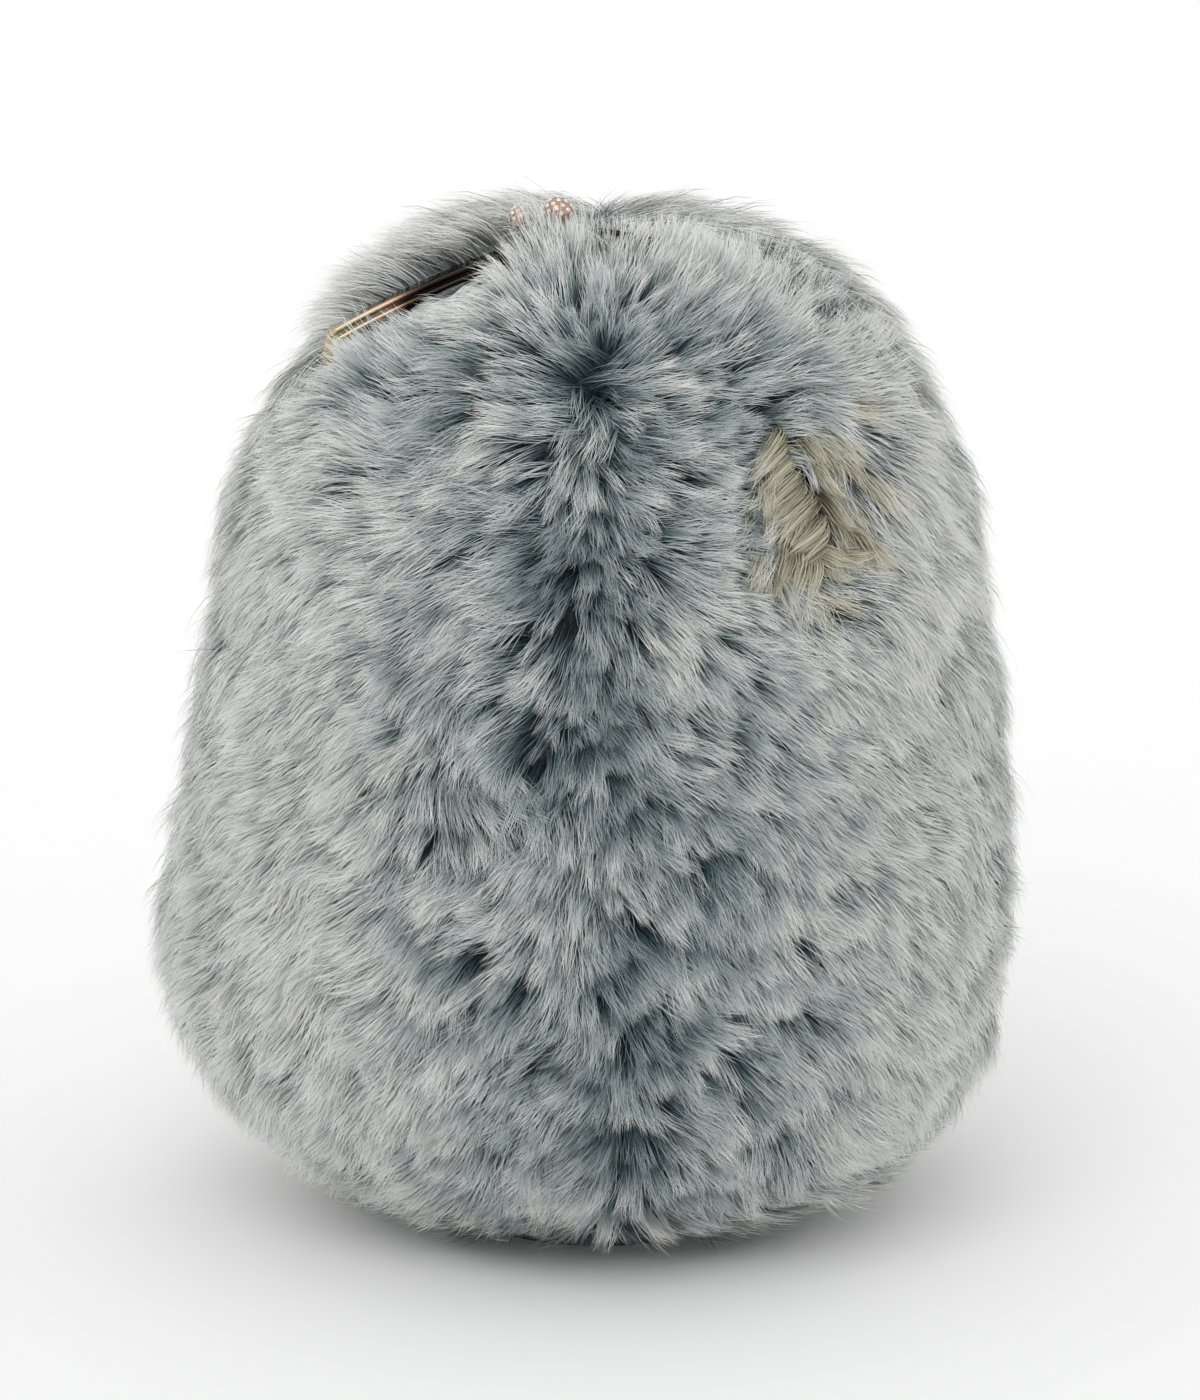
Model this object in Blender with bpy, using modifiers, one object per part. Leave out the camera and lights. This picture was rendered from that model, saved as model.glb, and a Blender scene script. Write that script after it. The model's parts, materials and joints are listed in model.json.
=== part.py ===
"""Furry windscreen: a sewn fur cover over a foam core, with a sprung metal mouth frame and a base collar.

The cover is an upright ovoid. A two-part metal frame with a ball clasp closes its mouth at the top. Both
halves of the frame turn about one line of rivets, front and rear, and each carries a lobe of fur, lining
and foam. Below the rivets the cover is fixed, and a folding gusset joins it to each lobe. At the bottom a
plastic collar with a rubber gland holds the microphone body, and a drawcord closes the cover round it.

Metres, +Z up. The origin is the centre of the collar's underside, -Y is the front.
"""

import math

import bmesh
import bpy
from mathutils import Matrix, Vector

# Driving dimensions of the fur's outer surface
WIDTH = 0.172
DEPTH = 0.150
HEIGHT = 0.209
BELLY = 0.073  # height of the widest section
TOP_POWER = 3.0  # superellipse powers of the outline above and below the belly
BOTTOM_POWER = 3.0
TAPER = 0.12  # share by which the body narrows from the belly to the top

# Layers, each as its depth below the outer surface of the fur
FUR = (0.0, 0.009)
TAPE = (0.0094, 0.0102)
LINING = (0.0106, 0.0114)
FOAM = 0.0118
FOAM_LOBE = (0.0118, 0.0215)

# Seams and gaps
GAP = 0.00025  # half the gap along a seam
BASE_SEAM = 0.026  # height of the seam between the side panels and the base panel
TAPE_HALF_WIDTH = 0.006
FAR = 0.12  # further out than any part of the cover
BELOW = -0.01  # a height under everything
ABOVE_COLLAR = 0.03  # a height over the collar and below the pocket's walls
LINING_HOLE_RADIUS = 0.028

# Mouth frame
FRAME_Y = -0.018
FRAME_GAP = 0.0020  # half the slot between the two lobes
HINGE_Z = 0.147
OPEN_DEG = 25.0  # how far each half turns
FOLD_DROP = 0.007  # the fixed cover's ridge lies this far below the hinge line
ARCH_TOP = 0.205
ARCH_HALF = 0.053
ARCH_DROP = 0.0205
ARCH_POWER = 1.45
RAIL_THICK = 0.0015
RAIL_HIGH = 0.006
RAIL_GAP = 0.00015  # half the gap between the two rails
RAIL_CLEARANCE = 0.0002  # round a rail where a clasp knob's arm meets it
LEG_X = 0.0595  # outer edge of a leg at its lower end
LEG_END = HINGE_Z + 0.0048
TAB_RADIUS = 0.0040
TAB_THICK = 0.0010
TAB_OVERLAP = 0.0030  # how far a tab's stem runs up into its leg
TAB_STEPS = 20
STEM_INSET = 0.0001  # how much narrower than its rail a tab's stem is on each side
TAB_FRONT_X = 0.0582  # middle of the front half's hinge tab
TAB_REAR_X = 0.0569
RIVET_RADIUS = 0.0011
RIVET_HOLE = 0.0013
RIVET_HEAD = 0.0026
RIVET_SHAFT_X = (0.0556, 0.0615)
RIVET_INNER_X = (0.0550, 0.0560)
RIVET_OUTER_X = (0.0607, 0.0617)
ANCHOR_X = (0.0597, 0.0605)  # webbing anchor, outside both tabs
ANCHOR_HALF = 0.0035
ANCHOR_Z = (HINGE_Z - 0.014, HINGE_Z + 0.0042)
ANCHOR_CLEARANCE = 0.0004
HINGE_ROOM = 0.0060  # radius kept clear in the lobes round the rivets
HINGE_ROOM_X = (0.0544, 0.0624)
GROOVE = 0.0006  # width of the slot in a rail that the binding is held in
GROOVE_TOP = 0.0012  # how far below the rail's outer edge the slot starts
GROOVE_LEG = 0.0040  # how far above the legs' lower ends the slot stops
BINDING_TOP = 0.0016
BINDING_REACH = 0.0035  # how far the binding hangs below the rail
BINDING_CLEARANCE = 0.0001
BINDING_LEG = 0.0045
CLASP_X = -0.0115
CLASP_SPREAD = 0.0034
CLASP_RADIUS = 0.0028
CLASP_RISE = 0.0045  # from the rail's top to the middle of a ball
CLASP_LEAN = 0.0012  # how far a ball stands over the other rail
CLASP_ROOT = 0.0010  # how far its arm starts below the rail's top
CLASP_ARM_RADIUS = 0.0007
NOTCH_HALF = (0.0078, 0.0060)  # room in the fur round the clasp, across and from front to rear
NOTCH_DEPTH = 0.0020
NOTCH_TOP = 0.24

# Base collar
FLANGE_RADIUS = 0.0305
FLANGE_THICK = 0.0035
NECK_RADIUS = 0.0215
NECK_BORE = 0.0180
NECK_TOP = 0.0200
GLAND_BORE = 0.0120
PLATE_Z = (0.0203, 0.0228)
PLATE_RADIUS = (0.0185, 0.0310)
SCREW_CIRCLE = 0.0255
SCREW_RADIUS = 0.0015
SCREW_HEAD = 0.0028
SCREW_HEAD_Z = (0.0004, 0.0020)
SCREW_SHAFT_Z = (0.0008, PLATE_Z[1] - 0.0004)
SCREW_SLOT = (0.0004, 0.0010)  # half width and depth
SCREW_CLEARANCE = 0.00012
SCREW_SEAT = (SCREW_HEAD + 0.0003, 0.0023)  # radius and depth
SCREW_WAY = SCREW_RADIUS + 0.0006  # radius of the way through the foam
COLLAR_EDGE = 0.0010  # chamfer round the underside
GLAND_Z = (0.0015, 0.0190)
GLAND_EDGE = 0.0012
GLAND_CLEARANCE = 0.0002
GLAND_FOLD = 0.0025  # depth of the fold between the gland's two lips
GLAND_FOLD_Z = (0.0045, 0.0070, 0.0090, 0.0105)

# Pocket in the foam
POCKET_HALF_X = 0.031
POCKET_HALF_Y = 0.018
POCKET_CORNER = 0.008
POCKET_FLOOR = 0.0242
POCKET_WALL = 0.0008
POCKET_CLEARANCE = 0.0003
POCKET_CUT = 0.003  # how far below the pocket's floor its hole starts
PLATE_ROOM = 0.0010  # round the back plate in the foam
NECK_ROOM = 0.0005  # round the collar's neck in the foam

# Drawcord and its lock
CORD_RADIUS = 0.0009
CORD_RING = 0.0288
CORD_Z = 0.0064
CORD_SPREAD = 0.0016
CORD_TAIL = 0.0745
LOCK_Y = 0.0665
LOCK_RADIUS = 0.0055
LOCK_X = (-0.0115, 0.0045)
LOCK_BORE = 0.0043
LOCK_FLOOR = -0.0098
PLUNGER_RADIUS = 0.0041
PLUNGER_X = (-0.0045, 0.0085)
PLUNGER_TRAVEL = 0.0022
CORD_CLEARANCE = 0.0004
PLUNGER_CLEARANCE = 0.0003
SLOT_HALF_DEPTH = 0.01
CORD_STRAIGHT = 0.006  # how far outside the ring each tail becomes straight
CORD_TURN_IN = 0.12  # angle left open between the ring's end and its tail
CORD_NOTCH_HALF = 0.006
CORD_NOTCH_Y = 0.028
CORD_NOTCH_RISE = 0.0014
SPRING_RADIUS = 0.0030
SPRING_WIRE = 0.0003
SPRING_GAP = 0.0005

# Cable slit in the front right lobe
PATCH_X = 0.039
PATCH_Z = 0.1625
PATCH_HALF_WIDTH = 0.009
PATCH_HALF_HEIGHT = 0.014
SLIT_HALF_WIDTH = 0.0015
SLIT_HALF_HEIGHT = 0.0095
PATCH_DEPTHS = (0.0072, 0.0088)
PATCH_CLEARANCE = 0.0004
PATCH_BACK_Y = FRAME_Y - 0.004

for old in list(bpy.data.objects):
    bpy.data.objects.remove(old)
parts = bpy.data.collections.new("furry_windscreen")
cutters = bpy.data.collections.new("cutters")
for group in (parts, cutters):
    bpy.context.scene.collection.children.link(group)


# ---------------------------------------------------------------- materials
def material(name, colour, roughness, metallic=0.0):
    made = bpy.data.materials.new(name)
    made.use_nodes = True
    shader = made.node_tree.nodes["Principled BSDF"]
    shader.inputs["Base Color"].default_value = (*colour, 1.0)
    shader.inputs["Roughness"].default_value = roughness
    shader.inputs["Metallic"].default_value = metallic
    return made


FUR_GREY = material("fur", (0.55, 0.57, 0.56), 0.95)
FUR_TAN = material("tan_suede", (0.50, 0.42, 0.30), 0.9)
MESH_BLACK = material("lining", (0.06, 0.07, 0.08), 0.9)
TAPE_GREY = material("tape", (0.16, 0.18, 0.19), 0.85)
FOAM_DARK = material("foam", (0.10, 0.10, 0.11), 1.0)
GOLD_STEEL = material("plated_steel", (0.72, 0.62, 0.45), 0.18, 1.0)
NYLON = material("nylon", (0.03, 0.03, 0.035), 0.5)
RUBBER = material("rubber", (0.02, 0.02, 0.02), 0.75)
STEEL = material("zinc_steel", (0.62, 0.63, 0.65), 0.3, 1.0)
CORD = material("cord", (0.05, 0.05, 0.055), 0.8)


# ---------------------------------------------------------------- helpers
def add(name, mesh, finish=None):
    """A part if it has a finish, and a cutter if it hasn't."""
    obj = bpy.data.objects.new(name, mesh)
    if finish is None:
        cutters.objects.link(obj)
        obj.hide_render = True
        obj.display_type = "WIRE"
    else:
        parts.objects.link(obj)
        mesh.materials.clear()
        mesh.materials.append(finish)
    return obj


def mesh_of(obj, weld=1e-6):
    """The evaluated mesh of a curve or a modified object, closed and in its own frame. The object is removed."""
    bpy.context.view_layer.update()
    graph = bpy.context.evaluated_depsgraph_get()
    mesh = bpy.data.meshes.new_from_object(obj.evaluated_get(graph))
    mesh.transform(obj.matrix_world)
    work = bmesh.new()
    work.from_mesh(mesh)
    bmesh.ops.remove_doubles(work, verts=work.verts, dist=weld)
    bmesh.ops.recalc_face_normals(work, faces=work.faces)
    work.to_mesh(mesh)
    work.free()
    bpy.data.objects.remove(obj)
    return mesh


def turned(profile, steps):
    """A profile of (radius, height) points turned about Z. It closes on itself unless it ends on the axis."""
    on_axis = profile[0][0] < 1e-9
    mesh = bpy.data.meshes.new("profile")
    count = len(profile)
    edges = [(i, i + 1) for i in range(count - 1)]
    if not on_axis:
        edges.append((count - 1, 0))
    mesh.from_pydata([(r, 0.0, z) for r, z in profile], edges, [])
    obj = bpy.data.objects.new("profile", mesh)
    cutters.objects.link(obj)
    screw = obj.modifiers.new("turn", "SCREW")
    screw.steps = steps
    screw.render_steps = steps
    screw.use_merge_vertices = True
    screw.merge_threshold = 1e-5
    return mesh_of(obj)


# Which way the flat outline of a plate faces: its local X, Y and Z in world axes
PLANES = {
    "X": Matrix(((0, 0, 1), (1, 0, 0), (0, 1, 0))).to_4x4(),
    "Y": Matrix(((1, 0, 0), (0, 0, -1), (0, 1, 0))).to_4x4(),
    "Z": Matrix.Identity(4),
}


def plate(outlines, low, high, axis):
    """Flat outlines, the outer one first and any holes after it, made thick from low to high along an axis."""
    curve = bpy.data.curves.new("outline", "CURVE")
    curve.dimensions = "2D"
    curve.fill_mode = "BOTH"
    curve.extrude = (high - low) / 2
    for outline in outlines:
        spline = curve.splines.new("POLY")
        spline.points.add(len(outline) - 1)
        for point, (u, v) in zip(spline.points, outline):
            point.co = (u, v, 0.0, 1.0)
        spline.use_cyclic_u = True
    obj = bpy.data.objects.new("outline", curve)
    cutters.objects.link(obj)
    along = {"X": (1, 0, 0), "Y": (0, 1, 0), "Z": (0, 0, 1)}[axis]
    obj.matrix_world = Matrix.Translation(Vector(along) * (low + high) / 2) @ PLANES[axis]
    return mesh_of(obj)


def ellipse(half_u, half_v, u=0.0, v=0.0, steps=20):
    angles = [2 * math.pi * i / steps for i in range(steps)]
    return [(u + half_u * math.cos(a), v + half_v * math.sin(a)) for a in angles]


def wire(points, radius, resolution=2, cyclic=False):
    """A round wire along a run of points."""
    curve = bpy.data.curves.new("wire", "CURVE")
    curve.dimensions = "3D"
    curve.bevel_depth = radius
    curve.bevel_resolution = resolution
    curve.use_fill_caps = True
    spline = curve.splines.new("POLY")
    spline.points.add(len(points) - 1)
    for point, co in zip(spline.points, points):
        point.co = (*co, 1.0)
    spline.use_cyclic_u = cyclic
    obj = bpy.data.objects.new("wire", curve)
    cutters.objects.link(obj)
    return mesh_of(obj)


def cylinder(radius, low, high, centre=(0.0, 0.0), axis="Z", segments=24):
    """A cylinder from low to high along an axis. Centre holds its place on the other two, in X, Y, Z order."""
    mesh = bpy.data.meshes.new("cylinder")
    work = bmesh.new()
    bmesh.ops.create_cone(
        work, cap_ends=True, segments=segments, radius1=radius, radius2=radius, depth=high - low
    )
    work.to_mesh(mesh)
    work.free()
    middle = (low + high) / 2
    if axis == "X":
        mesh.transform(Matrix.Translation((middle, *centre)) @ Matrix.Rotation(math.pi / 2, 4, "Y"))
    else:
        mesh.transform(Matrix.Translation((*centre, middle)))
    return mesh


def boolean(obj, cutter, operation):
    modifier = obj.modifiers.new(f"{operation.lower()}_{cutter.name}", "BOOLEAN")
    modifier.object = cutter
    modifier.operation = operation
    return obj


def joined(base, *meshes):
    """One mesh made by the Boolean union of several."""
    obj = bpy.data.objects.new("base", base)
    cutters.objects.link(obj)
    for index, mesh in enumerate(meshes):
        boolean(obj, add(f"joined_{base.name}_{index}", mesh), "UNION")
    return mesh_of(obj)


def smooth(obj, degrees=35):
    obj.data.shade_smooth()
    obj.data.set_sharp_from_angle(angle=math.radians(degrees))
    return obj


# ---------------------------------------------------------------- body surfaces
RINGS = 9  # rings in each half of the outline
AROUND = 32


def ovoid(inset):
    """The closed surface that lies the given depth below the outer surface of the fur."""
    half = WIDTH / 2 - inset
    upper = HEIGHT - BELLY - inset
    lower = BELLY - inset
    profile = []
    for step in range(2 * RINGS + 1):
        angle = math.pi / 2 * (1 - step / RINGS)
        power = TOP_POWER if angle >= 0 else BOTTOM_POWER
        reach = upper if angle >= 0 else lower
        radius = half * max(math.cos(angle), 0.0) ** (2 / power)
        height = math.copysign(abs(math.sin(angle)) ** (2 / power), angle) * reach
        radius *= 1 - TAPER * max(height, 0.0) / (HEIGHT - BELLY)
        profile.append((radius if 0 < step < 2 * RINGS else 0.0, BELLY + height))
    mesh = turned(profile, AROUND)
    mesh.transform(Matrix.Diagonal((1, (DEPTH / 2 - inset) / half, 1, 1)))
    return mesh


def layer(name, depths, regions, finish):
    """A shell between two depths, kept where it lies in every region."""
    outer, inner = depths
    obj = add(name, ovoid(outer), finish)
    boolean(obj, inner_cutter(inner), "DIFFERENCE")
    for region in regions:
        boolean(obj, region, "INTERSECT")
    return smooth(obj)


made_inner = {}


def inner_cutter(inset):
    if inset not in made_inner:
        made_inner[inset] = add(f"inside_{round(inset * 1e4)}", ovoid(inset))
    return made_inner[inset]


# ---------------------------------------------------------------- regions of the cover
SLOPE = math.tan(math.radians(OPEN_DEG))
RIDGE_Z = HINGE_Z - FOLD_DROP


def fold_z(y):
    """Height of the fixed cover's upper edge, which slopes down from the ridge to clear the open lobes."""
    return RIDGE_Z - SLOPE * abs(y - FRAME_Y)


def side_region(name, outline, x_low, x_high):
    return add(name, plate([outline], x_low, x_high, "X"))


def fixed_outline(side):
    """Side view of the fixed cover in front of the frame (side -1) or behind it (side 1)."""
    near, far = FRAME_Y + side * GAP, side * FAR
    return [(near, BASE_SEAM + GAP), (far, BASE_SEAM + GAP), (far, fold_z(far)), (near, fold_z(near))]


def gusset_outline(side):
    near, far = FRAME_Y + side * GAP, side * FAR
    rise = 2 * GAP
    return [(near, fold_z(near) + rise), (far, fold_z(far) + rise), (far, HINGE_Z), (near, HINGE_Z)]


def lobe_outline(side):
    near, far = FRAME_Y + side * FRAME_GAP, side * FAR
    low = HINGE_Z + 2 * GAP
    return [(near, low), (far, low), (far, HEIGHT + GAP), (near, HEIGHT + GAP)]


SIDES = {"front": -1, "rear": 1}
fixed, lobe = {}, {}
for where, side in SIDES.items():
    for hand, (x_low, x_high) in {"left": (-FAR, -GAP), "right": (GAP, FAR)}.items():
        fixed[where, hand] = side_region(f"fixed_{where}_{hand}", fixed_outline(side), x_low, x_high)
        lobe[where, hand] = side_region(f"half_lobe_{where}_{hand}", lobe_outline(side), x_low, x_high)
    lobe[where] = side_region(f"lobe_{where}", lobe_outline(side), -FAR, FAR)
below_fold = side_region(
    "below_fold",
    [(-FAR, -GAP), (FAR, -GAP), (FAR, fold_z(FAR)), (FRAME_Y, RIDGE_Z), (-FAR, fold_z(-FAR))],
    -FAR,
    FAR,
)
EVERYWHERE = [(-FAR, -FAR), (FAR, -FAR), (FAR, FAR), (-FAR, FAR)]
below_base_seam = add(
    "below_base_seam",
    plate([EVERYWHERE], -GAP, BASE_SEAM - GAP, "Z"),
)


# ---------------------------------------------------------------- fur cover
for where in SIDES:
    for hand in ("left", "right"):
        layer(f"fur_{where}_{hand}", FUR, [fixed[where, hand]], FUR_GREY)
        layer(f"fur_lobe_{where}_{hand}", FUR, [lobe[where, hand]], FUR_GREY)
    gusset = side_region(f"gusset_{where}", gusset_outline(SIDES[where]), -FAR, FAR)
    layer(f"fur_gusset_{where}", FUR, [gusset], FUR_GREY)

base_hole = add("base_hole", cylinder(FLANGE_RADIUS + 2 * GAP, BELOW, ABOVE_COLLAR, segments=32))
fur_base = layer("fur_base", FUR, [below_base_seam], FUR_GREY)
boolean(fur_base, base_hole, "DIFFERENCE")

for where, side in SIDES.items():
    low, high = BASE_SEAM + TAPE_HALF_WIDTH, fold_z(side * DEPTH / 2) - TAPE_HALF_WIDTH
    outline = [(0.0, low), (side * FAR, low), (side * FAR, high), (0.0, high)]
    strip = side_region(f"tape_{where}", outline, -TAPE_HALF_WIDTH, TAPE_HALF_WIDTH)
    layer(f"seam_tape_{where}", TAPE, [strip], TAPE_GREY)
tape_low, tape_high = BASE_SEAM - TAPE_HALF_WIDTH, BASE_SEAM + TAPE_HALF_WIDTH - 2 * GAP
tape_band = add("tape_band", plate([EVERYWHERE], tape_low, tape_high, "Z"))
layer("seam_tape_base", TAPE, [tape_band], TAPE_GREY)

lining_hole = add("lining_hole", cylinder(LINING_HOLE_RADIUS, BELOW, ABOVE_COLLAR, segments=32))
lining_body = layer("lining_body", LINING, [below_fold], MESH_BLACK)
boolean(lining_body, lining_hole, "DIFFERENCE")
for where in SIDES:
    layer(f"lining_lobe_{where}", LINING, [lobe[where]], MESH_BLACK)
    layer(f"foam_lobe_{where}", FOAM_LOBE, [lobe[where]], FOAM_DARK)


# ---------------------------------------------------------------- foam core and pocket
def rounded_box(half_x, half_y, corner, arc_steps=4):
    """Outline of a rectangle with round corners."""
    points = []
    for quadrant, (sx, sy) in enumerate([(1, 1), (-1, 1), (-1, -1), (1, -1)]):
        for step in range(arc_steps + 1):
            angle = math.pi / 2 * (quadrant + step / arc_steps)
            x = sx * (half_x - corner) + corner * math.cos(angle)
            y = sy * (half_y - corner) + corner * math.sin(angle)
            points.append((x, y))
    return points


pocket_outline = rounded_box(POCKET_HALF_X, POCKET_HALF_Y, POCKET_CORNER)
pocket_hole = add("pocket_hole", plate([pocket_outline], POCKET_FLOOR - POCKET_CUT, HEIGHT, "Z"))
seat_radius = PLATE_RADIUS[1] + PLATE_ROOM
plate_seat = add("plate_seat", cylinder(seat_radius, NECK_TOP, POCKET_FLOOR, segments=32))
neck_hole = add("neck_hole", cylinder(NECK_RADIUS + NECK_ROOM, BELOW, ABOVE_COLLAR, segments=32))
screw_places = [
    (SCREW_CIRCLE * math.cos(math.radians(a)), SCREW_CIRCLE * math.sin(math.radians(a)))
    for a in (45, 135, 225, 315)
]
for half, (y_low, y_high) in {"front": (-FAR, -GAP), "rear": (GAP, FAR)}.items():
    foam = add(f"foam_core_{half}", ovoid(FOAM), FOAM_DARK)
    outline = [(-FAR, y_low), (FAR, y_low), (FAR, y_high), (-FAR, y_high)]
    boolean(foam, below_fold, "INTERSECT")
    boolean(foam, add(f"foam_half_{half}", plate([outline], BELOW, HEIGHT, "Z")), "INTERSECT")
    for hole in (pocket_hole, plate_seat, neck_hole):
        boolean(foam, hole, "DIFFERENCE")
    for index, place in enumerate(screw_places):
        if (place[1] > 0) == (half == "rear"):
            screw_way = cylinder(SCREW_WAY, FLANGE_THICK + GAP, ABOVE_COLLAR, place)
            boolean(foam, add(f"screw_way_{index}", screw_way), "DIFFERENCE")
    smooth(foam)

half_x, half_y = POCKET_HALF_X - POCKET_CLEARANCE, POCKET_HALF_Y - POCKET_CLEARANCE
sleeve_outer = rounded_box(half_x, half_y, POCKET_CORNER)
sleeve_inner = rounded_box(half_x - POCKET_WALL, half_y - POCKET_WALL, POCKET_CORNER - POCKET_WALL)
sleeve = add("mic_pocket", plate([sleeve_outer, sleeve_inner], POCKET_FLOOR, HINGE_Z, "Z"), MESH_BLACK)
smooth(boolean(sleeve, below_fold, "INTERSECT"))


# ---------------------------------------------------------------- mouth frame
ARCH_STEPS = 16


def arch_z(x):
    return ARCH_TOP - ARCH_DROP * (abs(x) / ARCH_HALF) ** ARCH_POWER


def band_outline(outer_inset, inner_inset, leg_bottom):
    """An arch with legs, between two depths below the rail's outer edge."""

    def run(inset):
        shrink = (ARCH_HALF - inset) / ARCH_HALF
        arch = [-ARCH_HALF + 2 * ARCH_HALF * i / ARCH_STEPS for i in range(ARCH_STEPS + 1)]
        points = [(x * shrink, arch_z(x) - inset) for x in arch]
        foot = LEG_X - inset
        return [(-foot, leg_bottom)] + points + [(foot, leg_bottom)]

    return run(outer_inset) + list(reversed(run(inner_inset)))


rivet_hole = ellipse(RIVET_HOLE, RIVET_HOLE, FRAME_Y, HINGE_Z)


def hinge_tab(middle, rail_middle):
    """The round eye and stem that a rail ends in, as one mesh at the right-hand hinge."""
    half = RAIL_THICK / 2 - STEM_INSET
    offset = rail_middle - FRAME_Y
    start = math.acos((offset + half) / TAB_RADIUS)
    end = math.acos((offset - half) / TAB_RADIUS) - 2 * math.pi
    outline = []
    for step in range(TAB_STEPS + 1):
        angle = start + (end - start) * step / TAB_STEPS
        outline.append((FRAME_Y + TAB_RADIUS * math.cos(angle), HINGE_Z + TAB_RADIUS * math.sin(angle)))
    outline.append((rail_middle - half, LEG_END + TAB_OVERLAP))
    outline.append((rail_middle + half, LEG_END + TAB_OVERLAP))
    return plate([outline, rivet_hole], middle - TAB_THICK / 2, middle + TAB_THICK / 2, "X")


MIRROR_X = Matrix.Diagonal((-1, 1, 1, 1))


def mirrored(mesh):
    """A copy on the other side of the X plane, with its faces still pointing out."""
    copy = mesh.copy()
    copy.transform(MIRROR_X)
    copy.flip_normals()
    return copy


def clasp(rail_side, x):
    """A ball on a short arm that leans over the other rail."""
    foot = Vector((x, FRAME_Y + rail_side * (RAIL_GAP + RAIL_THICK / 2), arch_z(x) - CLASP_ROOT))
    top = Vector((x, FRAME_Y - rail_side * CLASP_LEAN, arch_z(x) + CLASP_RISE))
    mesh = bpy.data.meshes.new("ball")
    work = bmesh.new()
    bmesh.ops.create_uvsphere(work, u_segments=16, v_segments=10, radius=CLASP_RADIUS)
    work.to_mesh(mesh)
    work.free()
    mesh.transform(Matrix.Translation(top))
    return mesh, wire([foot, top], CLASP_ARM_RADIUS)


for where, side in SIDES.items():
    middle = FRAME_Y + side * (RAIL_GAP + RAIL_THICK / 2)
    low, high = middle - RAIL_THICK / 2, middle + RAIL_THICK / 2
    tab_x = TAB_FRONT_X if where == "front" else TAB_REAR_X
    tab = hinge_tab(tab_x, middle)
    band = plate([band_outline(0.0, RAIL_HIGH, LEG_END)], low, high, "Y")
    rail = add(f"frame_rail_{where}", joined(band, tab, mirrored(tab)), GOLD_STEEL)
    groove_outline = band_outline(GROOVE_TOP, RAIL_HIGH + BINDING_REACH, LEG_END + GROOVE_LEG)
    groove = plate([groove_outline], middle - GROOVE / 2, middle + GROOVE / 2, "Y")
    boolean(rail, add(f"groove_{where}", groove), "DIFFERENCE")
    smooth(rail)
    binding_outline = band_outline(BINDING_TOP, RAIL_HIGH + BINDING_REACH, LEG_END + BINDING_LEG)
    binding_half = GROOVE / 2 - BINDING_CLEARANCE
    binding = plate([binding_outline], middle - binding_half, middle + binding_half, "Y")
    add(f"mouth_binding_{where}", binding, TAPE_GREY)
    knob_x = CLASP_X + side * CLASP_SPREAD
    ball, arm = clasp(side, knob_x)
    knob = add(f"clasp_knob_{where}", joined(ball, arm), GOLD_STEEL)
    seat_outline = band_outline(-RAIL_CLEARANCE, RAIL_HIGH, LEG_END)
    seat = plate([seat_outline], low - RAIL_CLEARANCE, high + RAIL_CLEARANCE, "Y")
    smooth(boolean(knob, add(f"rail_seat_{where}", seat), "DIFFERENCE"))

for hand in ("left", "right"):
    shaft = cylinder(RIVET_RADIUS, *RIVET_SHAFT_X, (FRAME_Y, HINGE_Z), "X")
    inner_head = cylinder(RIVET_HEAD, *RIVET_INNER_X, (FRAME_Y, HINGE_Z), "X")
    outer_head = cylinder(RIVET_HEAD, *RIVET_OUTER_X, (FRAME_Y, HINGE_Z), "X")
    rivet = joined(shaft, inner_head, outer_head)
    low, high = ANCHOR_Z
    outline = [
        (FRAME_Y - ANCHOR_HALF, low),
        (FRAME_Y + ANCHOR_HALF, low),
        (FRAME_Y + ANCHOR_HALF, high),
        (FRAME_Y - ANCHOR_HALF, high),
    ]
    anchor = plate([outline, rivet_hole], *ANCHOR_X, "X")
    if hand == "left":
        rivet, anchor = mirrored(rivet), mirrored(anchor)
    smooth(add(f"hinge_rivet_{hand}", rivet, STEEL))
    add(f"hinge_anchor_{hand}", anchor, TAPE_GREY)


# ---------------------------------------------------------------- room for the hinges and the clasp
for hand, sign in {"left": -1, "right": 1}.items():
    low, high = sorted(sign * x for x in HINGE_ROOM_X)
    room = add(f"hinge_room_{hand}", cylinder(HINGE_ROOM, low, high, (FRAME_Y, HINGE_Z), "X"))
    for where in SIDES:
        for soft in (f"fur_lobe_{where}_{hand}", f"lining_lobe_{where}", f"foam_lobe_{where}"):
            boolean(bpy.data.objects[soft], room, "DIFFERENCE")
    low, high = sorted((sign * (ANCHOR_X[0] - ANCHOR_CLEARANCE), sign * (ANCHOR_X[1] + ANCHOR_CLEARANCE)))
    reach = ANCHOR_HALF + ANCHOR_CLEARANCE
    near, far = FRAME_Y - reach, FRAME_Y + reach
    foot = ANCHOR_Z[0] - ANCHOR_CLEARANCE
    outline = [(near, foot), (far, foot), (far, HINGE_Z), (near, HINGE_Z)]
    slot = add(f"anchor_slot_{hand}", plate([outline], low, high, "X"))
    boolean(bpy.data.objects["foam_core_front"], slot, "DIFFERENCE")

left, right = CLASP_X - NOTCH_HALF[0], CLASP_X + NOTCH_HALF[0]
notch_low = arch_z(CLASP_X) - NOTCH_DEPTH
notch_outline = [(left, notch_low), (right, notch_low), (right, NOTCH_TOP), (left, NOTCH_TOP)]
notch = plate([notch_outline], FRAME_Y - NOTCH_HALF[1], FRAME_Y + NOTCH_HALF[1], "Y")
clasp_notch = add("clasp_notch", notch)
for where in SIDES:
    boolean(bpy.data.objects[f"fur_lobe_{where}_left"], clasp_notch, "DIFFERENCE")


# ---------------------------------------------------------------- cable slit
def patch_ellipse(clearance):
    return ellipse(PATCH_HALF_WIDTH - clearance, PATCH_HALF_HEIGHT - clearance, PATCH_X, PATCH_Z)


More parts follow.
